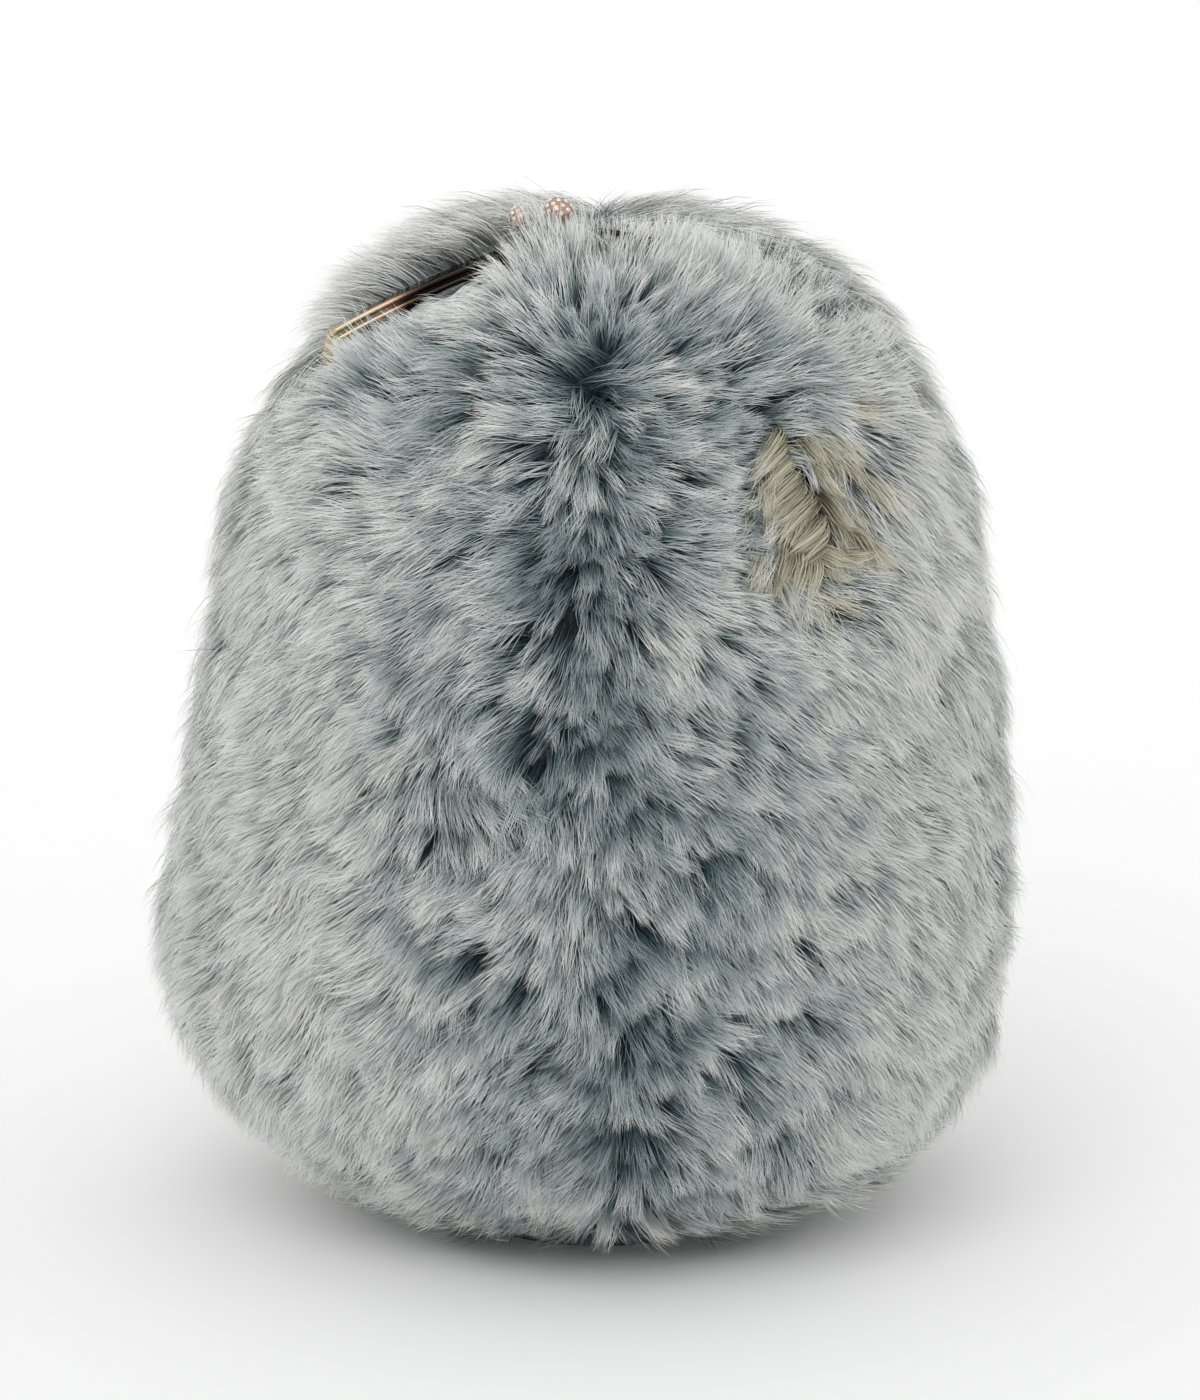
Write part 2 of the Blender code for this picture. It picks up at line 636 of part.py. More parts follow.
slit_outline = ellipse(SLIT_HALF_WIDTH, SLIT_HALF_HEIGHT, PATCH_X, PATCH_Z)
patch_way = add("patch_way", plate([patch_ellipse(0.0)], -FAR, PATCH_BACK_Y, "Y"))
patch_outlines = [patch_ellipse(PATCH_CLEARANCE), slit_outline]
patch_area = add("patch_area", plate(patch_outlines, -FAR, PATCH_BACK_Y, "Y"))
boolean(bpy.data.objects["fur_lobe_front_right"], patch_way, "DIFFERENCE")
layer("cable_slit_patch", PATCH_DEPTHS, [patch_area], FUR_TAN)
slit_way = add("slit_way", plate([slit_outline], -FAR, FRAME_Y, "Y"))
for soft in ("lining_lobe_front", "foam_lobe_front"):
    boolean(bpy.data.objects[soft], slit_way, "DIFFERENCE")


# ---------------------------------------------------------------- base collar
collar_profile = [
    (NECK_BORE, NECK_TOP),
    (NECK_RADIUS, NECK_TOP),
    (NECK_RADIUS, FLANGE_THICK),
    (FLANGE_RADIUS, FLANGE_THICK),
    (FLANGE_RADIUS, COLLAR_EDGE),
    (FLANGE_RADIUS - COLLAR_EDGE, 0.0),
    (NECK_BORE + COLLAR_EDGE, 0.0),
    (NECK_BORE, COLLAR_EDGE),
]
collar = add("collar_ring", turned(collar_profile, AROUND), NYLON)
plate_low, plate_high = PLATE_Z
plate_inner, plate_outer = PLATE_RADIUS
plate_profile = [
    (plate_inner, plate_high),
    (plate_outer, plate_high),
    (plate_outer, plate_low),
    (plate_inner, plate_low),
]
back_plate = add("collar_backplate", turned(plate_profile, AROUND), NYLON)
for index, place in enumerate(screw_places, 1):
    shaft = cylinder(SCREW_RADIUS, *SCREW_SHAFT_Z, place, segments=16)
    head = cylinder(SCREW_HEAD, *SCREW_HEAD_Z, place, segments=16)
    slot_half, slot_depth = SCREW_SLOT
    slot = [
        (place[0] - SCREW_HEAD, place[1] - slot_half),
        (place[0] + SCREW_HEAD, place[1] - slot_half),
        (place[0] + SCREW_HEAD, place[1] + slot_half),
        (place[0] - SCREW_HEAD, place[1] + slot_half),
    ]
    screw = add(f"collar_screw_{index}", joined(shaft, head), STEEL)
    boolean(screw, add(f"screw_slot_{index}", plate([slot], BELOW, slot_depth, "Z")), "DIFFERENCE")
    smooth(screw)
    hole_mesh = cylinder(SCREW_RADIUS + SCREW_CLEARANCE, BELOW, ABOVE_COLLAR, place, segments=16)
    hole = add(f"screw_hole_{index}", hole_mesh)
    seat_radius, seat_depth = SCREW_SEAT
    seat = add(f"screw_seat_{index}", cylinder(seat_radius, BELOW, seat_depth, place, segments=16))
    boolean(collar, hole, "DIFFERENCE")
    boolean(collar, seat, "DIFFERENCE")
    boolean(back_plate, hole, "DIFFERENCE")
smooth(collar)
smooth(back_plate)

gland_low, gland_high = GLAND_Z
gland_outer = NECK_BORE - GLAND_CLEARANCE
gland_profile = [
    (GLAND_BORE, gland_high - GLAND_EDGE),
    (GLAND_BORE + GLAND_EDGE, gland_high),
    (gland_outer, gland_high),
    (gland_outer, gland_low),
    (GLAND_BORE + GLAND_EDGE, gland_low),
    (GLAND_BORE, gland_low + GLAND_EDGE),
    (GLAND_BORE, GLAND_FOLD_Z[0]),
    (GLAND_BORE + GLAND_FOLD, GLAND_FOLD_Z[1]),
    (GLAND_BORE + GLAND_FOLD, GLAND_FOLD_Z[2]),
    (GLAND_BORE, GLAND_FOLD_Z[3]),
]
smooth(add("collar_gland", turned(gland_profile, AROUND), RUBBER))


# ---------------------------------------------------------------- drawcord and cord lock
def drawcord_path(turn_steps=28):
    """In along one tail, round the collar, and out along the other tail."""
    opening = math.asin(CORD_SPREAD / CORD_RING) + CORD_TURN_IN
    ring = []
    for step in range(turn_steps + 1):
        angle = math.pi / 2 + opening + (2 * math.pi - 2 * opening) * step / turn_steps
        ring.append((CORD_RING * math.cos(angle), CORD_RING * math.sin(angle), CORD_Z))
    near = CORD_RING + CORD_STRAIGHT
    tail_in = [(-CORD_SPREAD, CORD_TAIL, CORD_Z), (-CORD_SPREAD, near, CORD_Z)]
    tail_out = [(CORD_SPREAD, near, CORD_Z), (CORD_SPREAD, CORD_TAIL, CORD_Z)]
    return tail_in + ring + tail_out


smooth(add("drawcord", wire(drawcord_path(), CORD_RADIUS, resolution=1), CORD))
notch_outline = [
    (-CORD_NOTCH_HALF, CORD_NOTCH_Y),
    (CORD_NOTCH_HALF, CORD_NOTCH_Y),
    (CORD_NOTCH_HALF, FAR),
    (-CORD_NOTCH_HALF, FAR),
]
cord_notch = add("cord_notch", plate([notch_outline], BELOW, CORD_Z + CORD_NOTCH_RISE, "Z"))
boolean(fur_base, cord_notch, "DIFFERENCE")


def slot_cutter(name, x_low, x_high):
    """A slot right through the lock along Y, wide enough for both cords."""
    half = CORD_RADIUS + CORD_CLEARANCE
    outline = [
        (x_low, CORD_Z - half),
        (x_high, CORD_Z - half),
        (x_high, CORD_Z + half),
        (x_low, CORD_Z + half),
    ]
    return add(name, plate([outline], LOCK_Y - SLOT_HALF_DEPTH, LOCK_Y + SLOT_HALF_DEPTH, "Y"))


cord_reach = CORD_SPREAD + CORD_RADIUS + CORD_CLEARANCE
lock = add("cord_lock_body", cylinder(LOCK_RADIUS, *LOCK_X, (LOCK_Y, CORD_Z), "X"), NYLON)
lock_bore = add("lock_bore", cylinder(LOCK_BORE, LOCK_FLOOR, PLUNGER_X[1], (LOCK_Y, CORD_Z), "X"))
boolean(lock, lock_bore, "DIFFERENCE")
boolean(lock, slot_cutter("lock_slot", -cord_reach, cord_reach), "DIFFERENCE")
smooth(lock)
plunger = add("cord_lock_button", cylinder(PLUNGER_RADIUS, *PLUNGER_X, (LOCK_Y, CORD_Z), "X"), NYLON)
plunger_slot = slot_cutter("plunger_slot", -cord_reach + PLUNGER_CLEARANCE, cord_reach + PLUNGER_TRAVEL)
boolean(plunger, plunger_slot, "DIFFERENCE")
smooth(plunger)


def coil(low, high, turns, steps):
    points = []
    for step in range(turns * steps + 1):
        angle = 2 * math.pi * step / steps
        x = low + (high - low) * step / (turns * steps)
        y = LOCK_Y + SPRING_RADIUS * math.cos(angle)
        z = CORD_Z + SPRING_RADIUS * math.sin(angle)
        points.append((x, y, z))
    return points


spring_path = coil(LOCK_FLOOR + SPRING_GAP, PLUNGER_X[0] - SPRING_GAP, turns=3, steps=10)
smooth(add("cord_lock_spring", wire(spring_path, SPRING_WIRE, resolution=0), STEEL))
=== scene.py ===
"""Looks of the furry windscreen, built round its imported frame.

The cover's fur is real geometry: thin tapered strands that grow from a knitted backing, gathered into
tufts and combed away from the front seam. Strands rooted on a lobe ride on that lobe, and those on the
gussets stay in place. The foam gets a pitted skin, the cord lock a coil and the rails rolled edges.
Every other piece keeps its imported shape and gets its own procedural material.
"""

import json
import math

import bmesh
import bpy
import numpy as np
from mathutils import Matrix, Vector, kdtree


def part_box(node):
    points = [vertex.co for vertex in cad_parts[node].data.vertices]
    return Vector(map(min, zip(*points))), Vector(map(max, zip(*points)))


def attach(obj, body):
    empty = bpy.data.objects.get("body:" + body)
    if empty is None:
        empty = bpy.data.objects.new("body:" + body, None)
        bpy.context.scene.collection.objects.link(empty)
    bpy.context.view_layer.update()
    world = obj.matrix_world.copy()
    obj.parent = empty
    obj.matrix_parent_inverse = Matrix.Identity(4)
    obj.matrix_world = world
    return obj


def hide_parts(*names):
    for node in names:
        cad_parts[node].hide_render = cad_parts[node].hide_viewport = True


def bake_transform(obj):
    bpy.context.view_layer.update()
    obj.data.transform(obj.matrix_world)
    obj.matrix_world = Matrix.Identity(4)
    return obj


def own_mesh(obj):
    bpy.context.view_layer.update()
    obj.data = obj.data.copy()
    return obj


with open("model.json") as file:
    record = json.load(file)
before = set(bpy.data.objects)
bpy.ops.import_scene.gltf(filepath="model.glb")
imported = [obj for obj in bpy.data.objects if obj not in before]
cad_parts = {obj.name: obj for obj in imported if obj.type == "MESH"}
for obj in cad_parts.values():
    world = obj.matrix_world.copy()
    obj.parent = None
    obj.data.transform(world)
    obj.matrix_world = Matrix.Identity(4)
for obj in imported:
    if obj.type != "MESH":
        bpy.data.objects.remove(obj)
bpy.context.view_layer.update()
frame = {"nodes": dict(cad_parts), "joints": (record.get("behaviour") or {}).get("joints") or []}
packed = frame["nodes"]
MM = 0.001
rng = np.random.default_rng(7)

# ---- sizes read from the frame
HALF_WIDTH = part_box("fur_rear_right")[1].x
HALF_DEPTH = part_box("fur_rear_right")[1].y
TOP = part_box("fur_lobe_rear_right")[1].z
HINGE = Vector(frame["joints"][0]["pos_m"])
OPEN = math.radians(-frame["joints"][0]["range_deg"][0])
FOLD_DROP = HINGE.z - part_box("fur_front_left")[1].z
PATCH_LOW, PATCH_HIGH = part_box("cable_slit_patch")
PATCH = (PATCH_LOW + PATCH_HIGH) / 2
PATCH_HALF_X = (PATCH_HIGH.x - PATCH_LOW.x) / 2
PATCH_HALF_Z = (PATCH_HIGH.z - PATCH_LOW.z) / 2
CLASP = (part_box("clasp_knob_front")[0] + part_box("clasp_knob_rear")[1]) / 2
COLLAR_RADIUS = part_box("collar_ring")[1].x
BASE_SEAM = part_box("fur_front_left")[0].z
BELLY = 73 * MM
POWER = 3.0  # superellipse power of the outline
TAPER = 0.12  # share by which the body narrows from the belly to the top

# ---- fur settings
BACKING = 9.0 * MM  # depth of the backing below the surface of the fur
BACKING_THICK = 0.5 * MM
PILE = 16.0 * MM  # length of a strand
ROOT_TILT = math.radians(30)
TIP_TILT = math.radians(83)
LOWEST_TILT = math.radians(89)
TUFT_SPACING = 2.0 * MM
TUFT_RADIUS = 1.9 * MM
FILLING_SPACING = 1.5 * MM  # spacing of the extra tufts that hide the seams between left and right
FILLING_HALF_WIDTH = 3.0 * MM
LOCK_SPACING = 7.0 * MM
STRANDS_PER_TUFT = 18
STEPS = 4  # segments along a strand
ROOT_WIDTH = 0.18 * MM
TAPER_SHARE = 0.75  # share of its root's width that a strand loses towards its tip
MAX_STRANDS = 26000  # in one piece
PALE_FROM = 0.9  # strands with a shade above this are pale from the root, which is the painted light beside the slot
DARKEST = 0.02  # least shade of a strand
FLOOR_GAP = 0.3 * MM  # strands under the body stop this far above the floor
BARE_LIFTS = (math.radians(30), math.radians(10))  # extra tilts of root and tip before the bare rail

# Means and spreads of what is drawn for each lock, each tuft and each strand
LOCK_LENGTH = (0.98, 0.07)  # as shares of the pile's length
LOCK_TURN = math.radians(9)
LOCK_SHADE = 0.13
TUFT_TURN = math.radians(9)
TUFT_LENGTH = (1.0, 0.08)
TUFT_LIFT = math.radians(4)
TUFT_GATHER = (0.70, 0.15)  # how far the strands' tips close on the tuft's middle
GATHER_LIMITS = (0.1, 0.96)
GATHER_POWER = 1.6  # how late along a strand it closes
TUFT_SHADE = (0.52, 0.08)
STRAND_TURN = math.radians(6)
STRAND_LENGTH = (0.96, 0.08)
STRAND_TILT = math.radians(5)
STRAND_CURL = 0.07
STRAND_WAVE = 0.22 * MM
STRAND_WAVES = (0.7, 1.4)  # least and most waves along a strand
STRAND_SHADE = 0.06

TAN_SHARE = 0.70  # share of tan tufts where the pile is most matted
SOFT_STEADIES = (0.7, 0.4)  # share of the locks' and the tufts' turns that soft pile loses

# What each feature of the fur changes where it is strongest
LENGTH_LOSS = {"hollow": 0.3, "bare": 0.64, "matted": 0.18, "margin": 0.45, "filling": 0.30}
LIFT_DEGREES = {"hollow": 6, "soft": -3, "parted": 12, "behind rail": 20, "by clasp": 25}
GATHER_CHANGE = {"soft": -0.48, "matted": 0.30}
# hollow paints strands darker in the hollows, as painted shade
# painted light shoulder paints the upper right paler, as painted light
SHADE_CHANGE = {
    "hollow": -0.26, "soft": 0.31, "matted": -0.10, "shaded front": -0.16, "pale shoulder": 0.32,
    "front filling": -0.30, "front seam": -0.05, "upper seam": -0.16, "top seam": 0.15, "patchy": 0.12,
}


# ---- the body's surface
def narrowing(z):
    """The body's taper at a height: 1 up to the belly, and less above it."""
    return 1 - TAPER * np.clip((z - BELLY) / (TOP - BELLY), 0, 1)


def snap(points, inset):
    """The points moved in or out onto the surface that lies at a depth below the fur's outside."""
    for _ in range(3):
        x, y, z = points.T
        narrow = narrowing(z)
        reach = np.where(z < BELLY, BELLY, TOP - BELLY) - inset
        across = np.hypot(x / narrow / (HALF_WIDTH - inset), y / narrow / (HALF_DEPTH - inset))
        scale = (across**POWER + np.abs((z - BELLY) / reach) ** POWER) ** (1 / POWER)
        level = BELLY + (z - BELLY) / scale
        sideways = narrowing(level) / narrow / scale
        points = np.stack([x * sideways, y * sideways, level], axis=1)
    return points


def front_place(x, z, inset):
    """The point of the front at a place across and up, at a depth below the fur's outside."""
    level = abs(z - BELLY) / ((BELLY if z < BELLY else TOP - BELLY) - inset)
    across = (1 - level**POWER) ** (1 / POWER)
    narrow = float(narrowing(z))
    back = across**2 - (x / narrow / (HALF_WIDTH - inset)) ** 2
    return np.array([x, -narrow * (HALF_DEPTH - inset) * math.sqrt(max(back, 0.0)), z])


def normals_at(points):
    """The outward normals of the backing's surface."""
    x, y, z = points.T
    reach = np.where(z < BELLY, BELLY, TOP - BELLY) - BACKING
    narrow = narrowing(z)
    rate = np.where(z < BELLY, 0.0, -TAPER / (TOP - BELLY))
    half_x, half_y = HALF_WIDTH - BACKING, HALF_DEPTH - BACKING
    x, y = x / narrow, y / narrow
    flat = np.maximum(np.hypot(x / half_x, y / half_y), 1e-6) ** (POWER - 2)
    level = (z - BELLY) / reach
    slope_x = flat * x / half_x**2
    slope_y = flat * y / half_y**2
    slope_z = np.sign(level) * np.abs(level) ** (POWER - 1) / reach
    slope_z = slope_z - rate / narrow * (x * slope_x + y * slope_y)
    return unit(np.stack([slope_x / narrow, slope_y / narrow, slope_z], axis=1))


def unit(vectors):
    return vectors / np.maximum(np.linalg.norm(vectors, axis=-1, keepdims=True), 1e-12)


def scatter(spacing):
    """Points spread at random over the backing, about one for each square of the spacing."""
    turns = np.linspace(-math.pi, math.pi, 241)
    rises = np.linspace(-math.pi / 2 + 0.001, math.pi / 2 - 0.001, 161)
    turn, rise = np.meshgrid(turns, rises, indexing="ij")
    direction = np.stack(
        [np.cos(rise) * np.sin(turn), -np.cos(rise) * np.cos(turn), np.sin(rise)], axis=-1
    )
    shape = direction.shape
    grid = snap(direction.reshape(-1, 3) * 0.1 + [0, 0, BELLY], BACKING).reshape(shape)
    side_a = grid[1:, :-1] - grid[:-1, :-1]
    side_b = grid[:-1, 1:] - grid[:-1, :-1]
    area = np.linalg.norm(np.cross(side_a, side_b), axis=-1)
    count = int(area.sum() / spacing**2)
    chosen = rng.choice(area.size, count, p=(area / area.sum()).ravel())
    row, column = np.unravel_index(chosen, area.shape)
    along_a, along_b = rng.random((2, count, 1))
    points = grid[row, column] + side_a[row, column] * along_a + side_b[row, column] * along_b
    return snap(points, BACKING)


def waves(points, length, seed, count=14):
    """Smooth noise between about -1 and 1, with features of the given length."""
    source = np.random.default_rng(seed)
    direction = unit(source.normal(size=(count, 3)))
    rate = 2 * math.pi / length * source.uniform(0.6, 1.5, count)
    phase = source.uniform(0, 2 * math.pi, count)
    return np.sin(points @ (direction * rate[:, None]).T + phase).sum(axis=1) / math.sqrt(count)


def bell(distance, width):
    """1 at no distance, falling off over the width, in mm."""
    return np.exp(-((distance / (width * MM)) ** 2))


def smooth(share):
    share = np.clip(share, 0, 1)
    return share * share * (3 - 2 * share)


def ease(values, low, high):
    """0 below the low value to 1 above the high one, both in mm."""
    return smooth((values - low * MM) / ((high - low) * MM))


def between(values, low, low_full, high_full, high):
    """1 between the middle two values, easing to 0 at the outer two, all in mm."""
    return ease(values, low, low_full) * (1 - ease(values, high_full, high))


# ---- how the fur lies
# The front seam's sideways place at several heights, in mm
SEAM_Z = np.array([8, 44, 62, 92, 106, 116, 136, 148, 173, 190, 205]) * MM
SEAM_X = np.array([2, 4, 2, 1, -2, -5, -1, -2, -1, 0, 3]) * MM

SEAM_CROSSING = 1.8 * MM  # how far across the seam a tuft may lie the other way
SEAM_SHARP = 2.5 * MM  # distance over which the fur changes sides at the seam
SEAM_WANDER = [(1.8 * MM, 11 * MM, (0.2, 0.2, 1), 31), (2.0 * MM, 5 * MM, (1, 1, 1), 37)]

# The comb's angle below the outward horizontal at several heights on the front, in mm and degrees
COMB_Z = np.array([8, 24, 43, 61, 74, 92, 116, 136, 148, 163, 174, 188, 202]) * MM
COMB_ANGLE = np.radians([60, 62, 60, 52, 48, 50, 46, 36, 26, 10, -6, -35, -55])

# Turns added to that angle close to the seam: degrees, and the heights that each eases in and out at, in mm
SEAM_TURNS = [(28, 50, 70, 109, 124), (34, 124, 132, 172, 180), (-15, 174, 184, 300, 310)]
FLANK_ANGLE = math.radians(50)
FOOT_ANGLE = math.radians(18)
FLANK_SHARE = 0.8  # how fully the flanks take their angle
BACK_ANGLES = (math.radians(78), math.radians(25))  # low and high on the back
BACKWARD = (0.6, 0.5)  # lean backwards on the sides, and high on the back
UNDER_DROP = 0.35  # downward lean of the fur underneath, which otherwise points straight out
LEAN_BEFORE_SLOT = (1.2, -1.2)  # towards the back beside the slot: where the rails are hidden, and bare
LEAN_BEHIND_SLOT = (-1.2, -0.5)
SLOT_STRAIGHTENS = 0.6  # share of the sideways lean that is lost beside the slot
SEAM_FALL = 0.8  # downward lean on the front seam itself, which turns upward over the top
HOLLOW_PARTS = 0.45  # lean away from the middle of a hollow

# Hollows where the fur parts and shows its roots, and where its strands are painted darker as painted shade:
# place, half width, half height, in mm, and strength
HOLLOWS = [
    (0, 189, 5, 8, 1.0), (-2, 147, 5, 8, 1.0), (-5, 118, 5, 9, 1.0), (-21, 106, 6, 9, 0.9),
    (4, 44, 4, 5, 1.0), (1, 76, 4, 10, 0.7), (6, 58, 5, 5, 0.6), (14, 96, 8, 3, 0.5),
    (40, 70, 10, 4, 0.6), (-10, 62, 7, 4, 0.6), (18, 66, 7, 4, 0.7), (30, 64, 9, 4, 0.8),
    (3, 92, 4, 12, 0.6), (-39, 51, 3, 3, 0.5), (24, 124, 14, 3, 0.5), (28, 169, 5, 3, 0.9),
    (26, 160, 3, 4, 0.9), (39, 152, 4, 3, 0.8), (31, 139, 4, 4, 0.9),
]
WHORL = (-21, 106, 9)  # place across and up, and reach, in mm
WHORL_TURN = math.radians(115)

# The stretch of the rails that the fur leaves bare: sideways places that it eases in and out at, and the
# heights that it eases in over, in mm
BARE_RAIL = (-57, -52, -16, -10)
BARE_RAIL_Z = (176, 184)

# Where the pile is matted, round the cable slit: middle and half sizes, and the places across, at two
# heights, of the ridge that its locks fall away from, in mm
MATTED = (38, 156, 10.5, 17)
RIDGE_Z = np.array([141, 170]) * MM
RIDGE_X = np.array([49, 33]) * MM
LEFT_FALL, LEFT_FOOT_FALL = -128, -92  # directions in degrees, in front view, on each side and at the foot
RIGHT_FALL, OUTER_FOOT_FALL = -58, -14


def seam_offset(points):
    """Sideways distance from the line where the fur parts, which wanders about the seam, front and back."""
    middle = np.interp(points[:, 2], SEAM_Z, SEAM_X)
    for reach, length, stretch, seed in SEAM_WANDER:
        middle = middle + reach * waves(points * stretch, length, seed)
    return points[:, 0] - np.where(points[:, 1] < HINGE.y, middle, 0.0)


def hollow_depth(points):
    """How far into a hollow each point is, and the direction away from the hollow's middle."""
    depth = np.zeros(len(points))
    away = np.zeros((len(points), 3))
    front = ease(-points[:, 1], 0, 20)
    for x, z, half_x, half_z, strength in HOLLOWS:
        dx = (points[:, 0] - x * MM) / (half_x * MM)
        dz = (points[:, 2] - z * MM) / (half_z * MM)
        near = strength * np.exp(-(dx**2) - dz**2) * front
        depth = np.maximum(depth, near)
        away[:, 0] += near * dx
        away[:, 2] += near * dz
    return depth, away


def rail_shows(points):
    """1 beside the bare stretch of the rails, 0 elsewhere."""
    return between(points[:, 0], *BARE_RAIL) * ease(points[:, 2], *BARE_RAIL_Z)


def softness(points):
    """0 near the front seam, where tufts stand apart, to 1 on the sides, top and back, where they don't."""
    sideways = ease(np.abs(seam_offset(points)), 12, 62)
    behind = ease(points[:, 1], -30, 10)
    above = ease(points[:, 2], 184, 202)
    return np.maximum(np.maximum(sideways, behind), above)


def matting(points):
    """1 in the middle of the matted patch, 0 outside it."""
    x, z, half_x, half_z = MATTED
    gap = np.hypot((points[:, 0] - x * MM) / (half_x * MM), (points[:, 2] - z * MM) / (half_z * MM))
    return (1 - smooth((gap - 0.7) / 0.45)) * (points[:, 1] < HINGE.y)


def matted_fall(points):
    """The way the matted locks fall: down and left of their ridge, and down and right of it."""
    x, z = points[:, 0], points[:, 2]
    right = ease(x - np.interp(z, RIDGE_Z, RIDGE_X), -1, 1)
    foot = 1 - ease(z, 143, 153)
    outer = foot * ease(x, 36, 40)
    left_fall = LEFT_FALL + (LEFT_FOOT_FALL - LEFT_FALL) * foot
    angle = left_fall * (1 - right) + RIGHT_FALL * right
    angle = np.radians(angle * (1 - outer) + OUTER_FOOT_FALL * outer)
    return np.stack([np.cos(angle), np.zeros(len(angle)), np.sin(angle)], axis=1)


def turned(direction, across, angle):
    return direction * np.cos(angle)[:, None] + across * np.sin(angle)[:, None]


def flattened(direction, normals):
    """The directions with what stands out of the surface taken off."""
    return unit(direction - normals * (direction * normals).sum(axis=1, keepdims=True))


def comb(points, normals):
    """The direction along the surface in which the fur lies."""
    u = seam_offset(points) + rng.normal(0, SEAM_CROSSING, len(points))
    x, y, z = points.T
    front = y < HINGE.y
    angle = np.interp(z, COMB_Z, COMB_ANGLE)
    for degrees, *heights in SEAM_TURNS:
        angle = angle + bell(u, 9) * math.radians(degrees) * between(z, *heights)
    flank = ease(np.abs(u), 35, 65) * (1 - ease(z, 175, 190))
    angle = angle + flank * (FLANK_ANGLE - angle) * FLANK_SHARE
    foot = (1 - ease(z, 18, 34)) * ease(x, -12, 8)
    angle = angle + foot * (FOOT_ANGLE - angle)
    behind = ease(y, -10, 30)
    upper = ease(z, 164, 194)
    angle = angle + behind * ((1 - upper) * BACK_ANGLES[0] + upper * BACK_ANGLES[1] - angle)
    sideways = np.tanh(u / SEAM_SHARP) * np.cos(angle)
    backward = BACKWARD[0] * np.abs(normals[:, 0]) * np.cos(angle) + BACKWARD[1] * behind * upper
    direction = np.stack([sideways, backward, -np.sin(angle)], axis=1)
    under = (1 - ease(z, 8, 22))[:, None]
    outward = unit(points * [1, 1, 0]) - [0, 0, UNDER_DROP]
    direction = direction * (1 - under) + outward * under
    near_slot = bell(np.abs(y - HINGE.y), 15) * ease(z - HINGE.z, 12, 30)
    shows = rail_shows(points)
    direction[:, 0] *= 1 - SLOT_STRAIGHTENS * near_slot * (1 - shows)
    for half, (hidden, bare) in ((front, LEAN_BEFORE_SLOT), (~front, LEAN_BEHIND_SLOT)):
        direction[:, 1] += (hidden + (bare - hidden) * shows) * near_slot * half
    direction[:, 2] -= SEAM_FALL * bell(u, 3) * front * (1 - 2 * ease(z, 176, 188))
    direction = direction + HOLLOW_PARTS * hollow_depth(points)[1]
    matted = matting(points)[:, None]
    direction = direction * (1 - matted) + matted_fall(points) * matted
    direction = flattened(direction, normals)
    gap = np.hypot(x - WHORL[0] * MM, z - WHORL[1] * MM)
    turn = WHORL_TURN * bell(gap, WHORL[2]) * (y < 0)
    for degrees, length, seed in ((13, 30, 3), (9, 12, 4)):
        turn = turn + math.radians(degrees) * waves(points, length * MM, seed)
    return turned(direction, np.cross(normals, direction), turn)


# Swellings and dips of the pile: place across and up, reach and height, in mm
SWELLINGS = [
    (-86, 58, 26, 6.5),
    (-86, 138, 30, -3.5),
    (-54, 184, 15, -4.5),
    (86, 98, 45, -3.5),
    (58, 194, 20, -4.0),
]
CLASP_SWELLING = 3.6 * MM
TOP_DIP = 2.6 * MM
UNEVEN = 0.8 * MM


def lumps(points):
    """How far the tips stand proud of the plain body."""
    x, y, z = points.T
    bump = UNEVEN * waves(points, 55 * MM, 11) - TOP_DIP * ease(z, 186, 200)
    clasp = np.hypot(x - CLASP.x, y - HINGE.y)
    bump = bump + CLASP_SWELLING * bell(clasp, 10) * (z > BELLY)
    for middle_x, middle_z, reach, height in SWELLINGS:
        gap = np.hypot(x - middle_x * MM, z - middle_z * MM)
        bump = bump + height * MM * bell(gap, reach)
    return bump


# ---- where the fur grows
def fold_z(y):
    return HINGE.z - FOLD_DROP - math.tan(OPEN) * np.abs(y - HINGE.y)


def region_of(points):
    """The name of the part of the cover that each point is on."""
    _, y, z = points.T
    where = np.where(y < HINGE.y, "front", "rear")
    level = np.where(z > HINGE.z, "lobe", np.where(z > fold_z(y), "gusset", "body"))
    return np.where(z < BASE_SEAM, "base", np.char.add(np.char.add(level, "_"), where))


SLOT_HALF = 2.4 * MM  # half the width of the strip that stays bare along the rails
SLIT_BARE = 0.3  # share of the suede patch, from its middle, that stays bare


def grows(points):
    """Whether fur grows at each point: not in the slot, the collar's hole or the middle of the patch."""
    x, y, z = points.T
    slot = (np.abs(y - HINGE.y) < SLOT_HALF) & (z > HINGE.z)
    hole = (np.hypot(x, y) < COLLAR_RADIUS) & (z < BASE_SEAM)
    slit = np.hypot((x - PATCH.x) / PATCH_HALF_X, (z - PATCH.z) / PATCH_HALF_Z) < SLIT_BARE
    return ~(slot | hole | (slit & (y < HINGE.y)))


# ---- strands
def arcs(roots, normals, direction, length, start, end, t):
    """Points along arcs that leave the surface at one tilt and end at another."""
    bend = (end - start)[:, None]
    angle = start[:, None] + bend * t
    height = length[:, None] * (np.sin(angle) - np.sin(start)[:, None]) / bend
    forward = length[:, None] * (np.cos(start)[:, None] - np.cos(angle)) / bend
    height = height - forward**2 / (2 * HALF_WIDTH)
    return roots[:, None] + normals[:, None] * height[:, :, None] + direction[:, None] * forward[:, :, None]


def place_tufts():
    """The tufts' places, with the extra ones along the seams, and which tufts those are."""
    tufts = scatter(TUFT_SPACING)
    filling = scatter(FILLING_SPACING)
    filling = filling[np.abs(filling[:, 0]) < FILLING_HALF_WIDTH]
    fills_seam = np.repeat([False, True], [len(tufts), len(filling)])
    tufts = np.concatenate([tufts, filling])
    kept = grows(tufts)
    return tufts[kept], fills_seam[kept]


